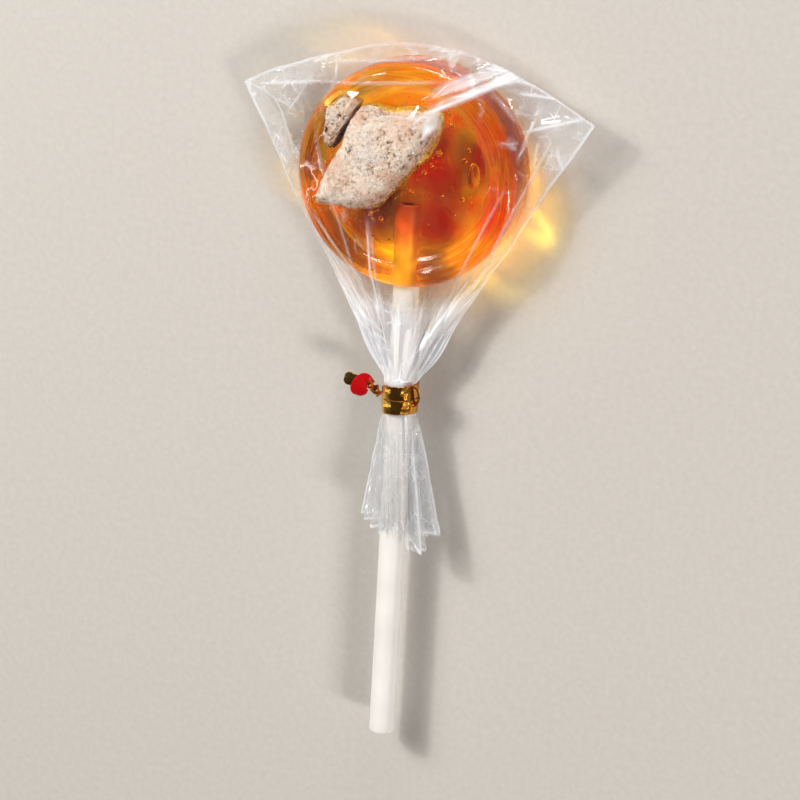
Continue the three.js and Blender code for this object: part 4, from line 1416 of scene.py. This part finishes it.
# %% [markdown]
# ## Clear film
# Polypropylene film is colourless and glossy. It lets most light straight through and mirrors a
# little, more and more as it is seen at a slant, which is Fresnel's law. Both faces of the film
# mirror, so the share is doubled. A faint white haze stands for its scratches, and its welds are
# hazier. The finest crumples are too small for the mesh, so the bump draws them in the same way as
# the mesh does: one bowl round each random spot less another bowl, which leaves flat planes.
# The same white draws the painted glare at the plum's corner and below the tie, and a painted sheen over
# the plum.

# %% Crinkles too fine for the mesh
# Facets of two widths, and hairline creases that show in patches, all in mm. All of them are stronger
# where the film is hazier.
FACET_WIDTHS = (100 / 17, 100 / 24)
HAIRLINES_APART = 100 / 21
PATCH_WIDTH = 100 / 26

film_finish, tree = new_material("clear_polypropylene_film")
# The crease number also holds painted glare, and the haze number a painted sheen over the plum.
haze_here = add(tree, "ShaderNodeAttribute", {"attribute_name": "haze"}).outputs["Fac"]
crease_here = add(tree, "ShaderNodeAttribute", {"attribute_name": "crease"}).outputs["Fac"]
place = add(tree, "ShaderNodeTexCoord").outputs["Object"]
flattened = add(tree, "ShaderNodeMapping", Vector=place, Scale=(1.0, 1.0, 0.4)).outputs["Vector"]
bowls = []
for width in FACET_WIDTHS:
    spots = add(tree, "ShaderNodeTexVoronoi", Vector=flattened, Scale=pattern_scale(width))
    bowl = add(
        tree, "ShaderNodeMath", {"operation": "POWER"}, _0=spots.outputs["Distance"], _1=2.0
    )
    bowls.append(bowl.outputs[0])
planes = add(tree, "ShaderNodeMath", {"operation": "SUBTRACT"}, _0=bowls[0], _1=bowls[1]).outputs[0]
crinkle = add(
    tree, "ShaderNodeBump", Height=planes, Strength=haze_here, Distance=0.9 * MM
).outputs["Normal"]
edges = add(
    tree, "ShaderNodeTexVoronoi", {"feature": "DISTANCE_TO_EDGE"},
    Vector=flattened, Scale=pattern_scale(HAIRLINES_APART),
).outputs["Distance"]
patches = add(
    tree, "ShaderNodeTexNoise", Vector=flattened, Scale=pattern_scale(PATCH_WIDTH), Detail=1.0
).outputs["Fac"]
thin = add(tree, "ShaderNodeMapRange", _0=edges, _1=0.0, _2=0.03, _3=1.0, _4=0.0).outputs[0]
in_patch = add(tree, "ShaderNodeMapRange", _0=patches, _1=0.5, _2=0.6, _3=0.0, _4=0.6).outputs[0]
patchy = add(tree, "ShaderNodeMath", {"operation": "MULTIPLY"}, _0=thin, _1=in_patch).outputs[0]
hairlines = add(tree, "ShaderNodeMath", {"operation": "MULTIPLY"}, _0=patchy, _1=haze_here).outputs[0]
whitest = add(tree, "ShaderNodeMath", {"operation": "MAXIMUM"}, _0=crease_here, _1=hairlines).outputs[0]

# %% Film finish
FILM_MIRROR = 0.04
FILM_HAZE = 0.27
CREASE_HAZE = 0.75

slant = add(tree, "ShaderNodeLayerWeight", Blend=0.5).outputs["Facing"]
steep = add(tree, "ShaderNodeMath", {"operation": "POWER"}, _0=slant, _1=5.0).outputs[0]
mirrored = add(
    tree, "ShaderNodeMath", {"operation": "ADD", "use_clamp": True}, _0=steep, _1=2 * FILM_MIRROR
).outputs[0]
clear = add(tree, "ShaderNodeBsdfTransparent", Color="#FEFEFD")
gloss = add(tree, "ShaderNodeBsdfAnisotropic", Color="#FFFFFF", Roughness=0.07, Normal=crinkle)
sheet = add(
    tree, "ShaderNodeMixShader", _0=mirrored, _1=clear.outputs["BSDF"], _2=gloss.outputs["BSDF"]
)
# This white also draws the painted glare and sheen, and it is a little blue for them.
white = add(tree, "ShaderNodeBsdfDiffuse", Color="#F5F8FE", Roughness=0.5)
scratched = add(
    tree, "ShaderNodeMath", {"operation": "MULTIPLY"}, _0=haze_here, _1=FILM_HAZE
).outputs[0]
white_share = add(
    tree, "ShaderNodeMath", {"operation": "MULTIPLY_ADD", "use_clamp": True},
    _0=whitest, _1=CREASE_HAZE, _2=scratched,
).outputs[0]
surface = add(
    tree, "ShaderNodeMixShader", _0=white_share, _1=sheet.outputs["Shader"], _2=white.outputs["BSDF"]
)
add(tree, "ShaderNodeOutputMaterial", Surface=surface.outputs["Shader"])
print(f"{film_finish.name}: {len(tree.nodes)} nodes")


# %% The bag in one piece
POUCH_LENGTH = 60
WELD_WHITE = 0.45
HEM_WHITE = 0.6


def welded(points, faces):
    """Joins points that lie in one place, as along the welds, and renumbers the faces. The third
    value is which points are kept."""
    _, first, number = np.unique(np.round(points, 4), axis=0, return_index=True, return_inverse=True)
    return points[first], [number.reshape(-1)[face] for face in faces], first


def make_film(band_rows=10, skirt_rows=66):
    """Rings round the bag, from the top weld over the neck to the cut edge. Each ring runs over the
    upper ply from right to left and back under the lower one. The welds and the cut edge are white."""
    plies = zip(
        folded_ply(upper_ply, True, 41, LONG_FOLDS + packing_folds(73)),
        folded_ply(lower_ply, False, 59, packing_folds(79)),
    )
    pouch, crease, haze = (np.concatenate([upper, lower[:, -2:0:-1]], 1) for upper, lower in plies)
    rows, around = pouch.shape[:2]
    turn = full_turn(around)
    band_y = np.linspace(NECK_Y, SKIRT_TOP_Y, band_rows)[1:-1, None] + 0 * turn
    band_x = NECK_RADIUS * np.cos(turn) + 0 * band_y
    band_z = STICK_Z + NECK_RADIUS * np.sin(turn) + 0 * band_y
    skirt, skirt_crease_and_painted_glare = skirt_rings(turn, skirt_rows)
    skirt_crease_and_painted_glare[-2:] = HEM_WHITE
    grid = np.concatenate([pouch, np.stack([band_x, band_y, band_z], -1), skirt])
    side = 1 - np.abs(np.cos(turn))
    share = np.linspace(1, 0, rows)[:, None]
    from_weld = np.minimum(side * mix(NECK_RADIUS, BAG_HALF_WIDTH, share), (1 - share) * POUCH_LENGTH)
    weld = WELD_WHITE * (1 - smooth(0.15, 0.7, from_weld))
    crease = np.concatenate([np.maximum(crease, weld), 0 * band_y, skirt_crease_and_painted_glare])
    haze = np.concatenate([haze, np.full((len(grid) - rows, around), SKIRT_HAZE)])
    points, faces, kept = welded(grid.reshape(-1, 3), [grid_quads(len(grid), around)])
    piece = make_piece("film_bag_clear", points, faces, film_finish, ["film_bag"])
    paint(piece, "crease", crease.reshape(-1)[kept])
    paint(piece, "haze", haze.reshape(-1)[kept])
    return piece


make_film()

# %% [markdown]
# ## The twist tie
# The tie is a strip of gold foil, red on its back, with a soft wire along its middle. It goes twice
# round the neck, its ends are twisted together once, and then they stand apart. A section of the
# strip, a thin oblong with the wire's bulge, is carried along a path. Each station of the path has a
# direction across the strip and one out of its gold face.

# %% Gold and red foil finish
# Plastic strip metallised and lacquered gold mirrors the lamps, and its crinkles break up what it
# mirrors. The lacquer varies in clouds. Both widths are in mm. The printed red back is far less of a
# mirror.
FOIL_CRINKLE = 10 / 11
LACQUER_CLOUD = 10 / 5
GOLD_METAL = 0.97
RED_METAL = 0.25

tie_finish, tree = new_material("metallised_foil_strip")
place = add(tree, "ShaderNodeTexCoord").outputs["Object"]
back = add(tree, "ShaderNodeAttribute", {"attribute_name": "back"}).outputs["Fac"]
clouds = add(
    tree, "ShaderNodeTexNoise", Vector=place, Scale=pattern_scale(LACQUER_CLOUD), Detail=3.0
).outputs["Fac"]
gold = add(
    tree, "ShaderNodeValToRGB", stops=((0.3, "#CE8430"), (0.55, "#E8A94A"), (0.75, "#F8D082")), _0=clouds
).outputs["Color"]
foil = add(tree, "ShaderNodeMix", {"data_type": "RGBA"}, _0=back, _6=gold, _7="#CC1418").outputs[2]
metal = add(
    tree, "ShaderNodeMath", {"operation": "MULTIPLY_ADD"},
    _0=back, _1=RED_METAL - GOLD_METAL, _2=GOLD_METAL,
).outputs[0]
crinkle = add(
    tree, "ShaderNodeTexNoise", Vector=place, Scale=pattern_scale(FOIL_CRINKLE), Detail=2.0
).outputs["Fac"]
bump = add(tree, "ShaderNodeBump", Height=crinkle, Strength=0.5, Distance=0.06 * MM).outputs["Normal"]
finish = add(
    tree, "ShaderNodeBsdfPrincipled", Base_Color=foil, Metallic=metal, Roughness=0.18, Normal=bump
)
add(tree, "ShaderNodeOutputMaterial", Surface=finish.outputs["BSDF"])
print(f"{tie_finish.name}: {len(tree.nodes)} nodes")

# %% Carry the strip along a path
FOIL_THICKNESS = 0.1
WIRE_BULGE = 0.06
WIRE_HALF_WIDTH = 0.45
STRIP_CRUMPLE = 0.09
SECTION_POINTS = 17


def strip(middle, across, out, width, seed, loop=False):
    """Points, faces and which points are on the back. At each station the section's points are the
    middle, plus a share of the width across, plus a height out: the foil, with a bulge over the wire
    that falls off as e to the minus (place / half width) squared. Both edges are crumpled, and an open
    strip is closed by a lid at each end."""
    place = np.linspace(-0.5, 0.5, SECTION_POINTS)
    section = np.concatenate([place, place[::-1]])[None, :, None]
    gold_side = np.repeat([1.0, 0.0], SECTION_POINTS)[None, :, None]
    bulge = WIRE_BULGE * np.exp(-((section * width / WIRE_HALF_WIDTH) ** 2))
    rise = np.where(gold_side > 0, FOIL_THICKNESS + bulge, 0.0)
    points = middle[:, None] + section * width * across[:, None] + rise * out[:, None]
    crumple = STRIP_CRUMPLE * rough(*np.moveaxis(points, -1, 0), 1.6, 2, seed)[..., None]
    points = points + crumple * np.abs(section) * 2 * out[:, None]
    rows, columns = points.shape[:2]
    faces = [grid_quads(rows, columns, loop=loop)]
    if not loop:
        near = np.arange(SECTION_POINTS - 1)
        lid = np.stack([near, columns - 1 - near, columns - 2 - near, near + 1], -1)
        faces += [lid, (lid + (rows - 1) * columns)[:, ::-1]]
    return points.reshape(-1, 3), faces, np.repeat(1 - gold_side[:, :, 0], rows, 0).ravel()


def frame_along(path, lean):
    """Directions across and out of a strip on a path: across is level, square to the path, and both
    are then turned about the path by lean, in radians."""
    along = np.gradient(path, axis=0)
    along /= np.linalg.norm(along, axis=1, keepdims=True)
    level = np.cross(along, [0, 0, 1.0])
    level /= np.linalg.norm(level, axis=1, keepdims=True)
    up = np.cross(level, along)
    lean = np.broadcast_to(lean, len(path))[:, None]
    across = level * np.cos(lean) + up * np.sin(lean)
    return across, up * np.cos(lean) - level * np.sin(lean)


# %% Turns round the neck
TIE_Y = (NECK_Y + SKIRT_TOP_Y) / 2
TIE_MIDDLE = np.array([0, TIE_Y, STICK_Z])
TIE_WIDTH = 2.55
TIE_PITCH = 2.7
TIE_GATHER = 0.9
TIE_RADIUS = NECK_RADIUS + 0.12


def tie_turn(offset, seed, stations=200):
    """One turn round the neck: a circle moved along the stick by its offset and by a slant, which is
    a cosine of the turn. The offset fades in an S to nothing at the left, where both turns meet."""
    turn = full_turn(stations).T
    out = np.concatenate([np.cos(turn), 0 * turn, np.sin(turn)], 1)
    gather = smooth(0, TIE_GATHER, np.abs(turn - math.pi))
    slant = 0.35 * np.cos(turn) + 0.1 * np.sin(2 * turn + seed)
    middle = out * (TIE_RADIUS + 0.07 * noise(3 * turn, offset, 0.0, 1.0, seed))
    middle = middle + TIE_MIDDLE + (offset * gather + slant) * np.array([0, 1.0, 0])
    across = np.tile([0, 1.0, 0], (stations, 1))
    return strip(middle, across, out, TIE_WIDTH, seed, loop=True)


# %% The twisted stem
STEM_START = np.array([-3.7, 0.0, 0.0])
STEM_END = np.array([-5.7, 2.2, 1.1])
STEM_WIDTH = 1.7
STRAND_APART = 0.22


def stem_strand(side, seed, stations=50):
    """One of the two strands of the twisted stem: a strip that winds once round the stem's axis, a
    little off it, the second strand half a turn behind."""
    share = np.linspace(0, 1, stations)[:, None]
    path = mix(STEM_START, STEM_END, share) + TIE_MIDDLE
    across, out = frame_along(path, 2 * math.pi * share[:, 0] + math.pi * side)
    return strip(path + STRAND_APART * out, across, out, STEM_WIDTH, seed)


# %% Loose ends and the small loop
LOOP_CENTRE = np.array([2.7, 1.0, 1.7])
LOOP_HALF_X, LOOP_HALF_Y = 1.3, 1.9
LOOP_WIDTH = 1.2


def loose_end(bend, tip, roll_from, roll_to, width, seed, stations=60):
    """An end of the strip. It leaves the stem on a curve over a bend to its tip, both as steps from
    the stem's end, and rolls about its own run on the way. With s the share of the way, the curve is
    (1 - s)^2 of the start, plus 2s(1 - s) of the bend, plus s^2 of the tip. Its tip is rounded a
    little."""
    share = np.linspace(0, 1, stations)[:, None]
    end = STEM_END + TIE_MIDDLE
    start = end - 0.25 * (STEM_END - STEM_START)
    path = (1 - share) ** 2 * start + 2 * share * (1 - share) * (end + bend) + share**2 * (end + tip)
    across, out = frame_along(path, mix(roll_from, roll_to, share[:, 0]))
    rounded = np.sqrt(1 - 0.8 * np.clip((share - 0.8) / 0.2, 0, 1) ** 2)
    grown = (mix(STEM_WIDTH, width, smooth(0, 0.4, share)) * rounded)[:, :, None]
    return strip(path, across, out, grown, seed)


def end_loop(seed, stations=60):
    """The strip's inner end, bent back at the right as an open loop that stands nearly on edge: part
    of an ellipse level with the front of the neck."""
    turn = np.linspace(-0.55, 1.0, stations)[:, None] * math.pi
    path = np.concatenate([LOOP_HALF_X * np.cos(turn), LOOP_HALF_Y * np.sin(turn), 0.4 * turn], 1)
    path = path + LOOP_CENTRE + TIE_MIDDLE
    across, out = frame_along(path, np.linspace(1.25, 0.7, stations))
    return strip(path, across, out, LOOP_WIDTH, seed)


# %% The tie in one mesh
def make_tie():
    """All the strips in one mesh, each with its own points."""
    parts = [
        tie_turn(TIE_PITCH / 2, 3),
        tie_turn(-TIE_PITCH / 2, 4),
        stem_strand(0, 5),
        stem_strand(1, 6),
        loose_end((-2.2, 0.1, 0.3), (-4.5, 0.4, 0.3), 0.8, -0.3, 2.4, 7),
        loose_end((-0.7, 1.6, 1.8), (-1.8, -2.4, 1.0), math.pi - 0.6, math.pi + 0.2, 3.3, 8),
        end_loop(9),
    ]
    points, faces, backs, count = [], [], [], 0
    for part_points, part_faces, part_backs in parts:
        faces += [face + count for face in part_faces]
        points.append(part_points)
        backs.append(part_backs)
        count += len(part_points)
    piece = make_piece(
        "twist_tie_foil", np.concatenate(points), faces, tie_finish, ["twist_tie"]
    )
    paint(piece, "back", np.concatenate(backs))
    return piece


make_tie()
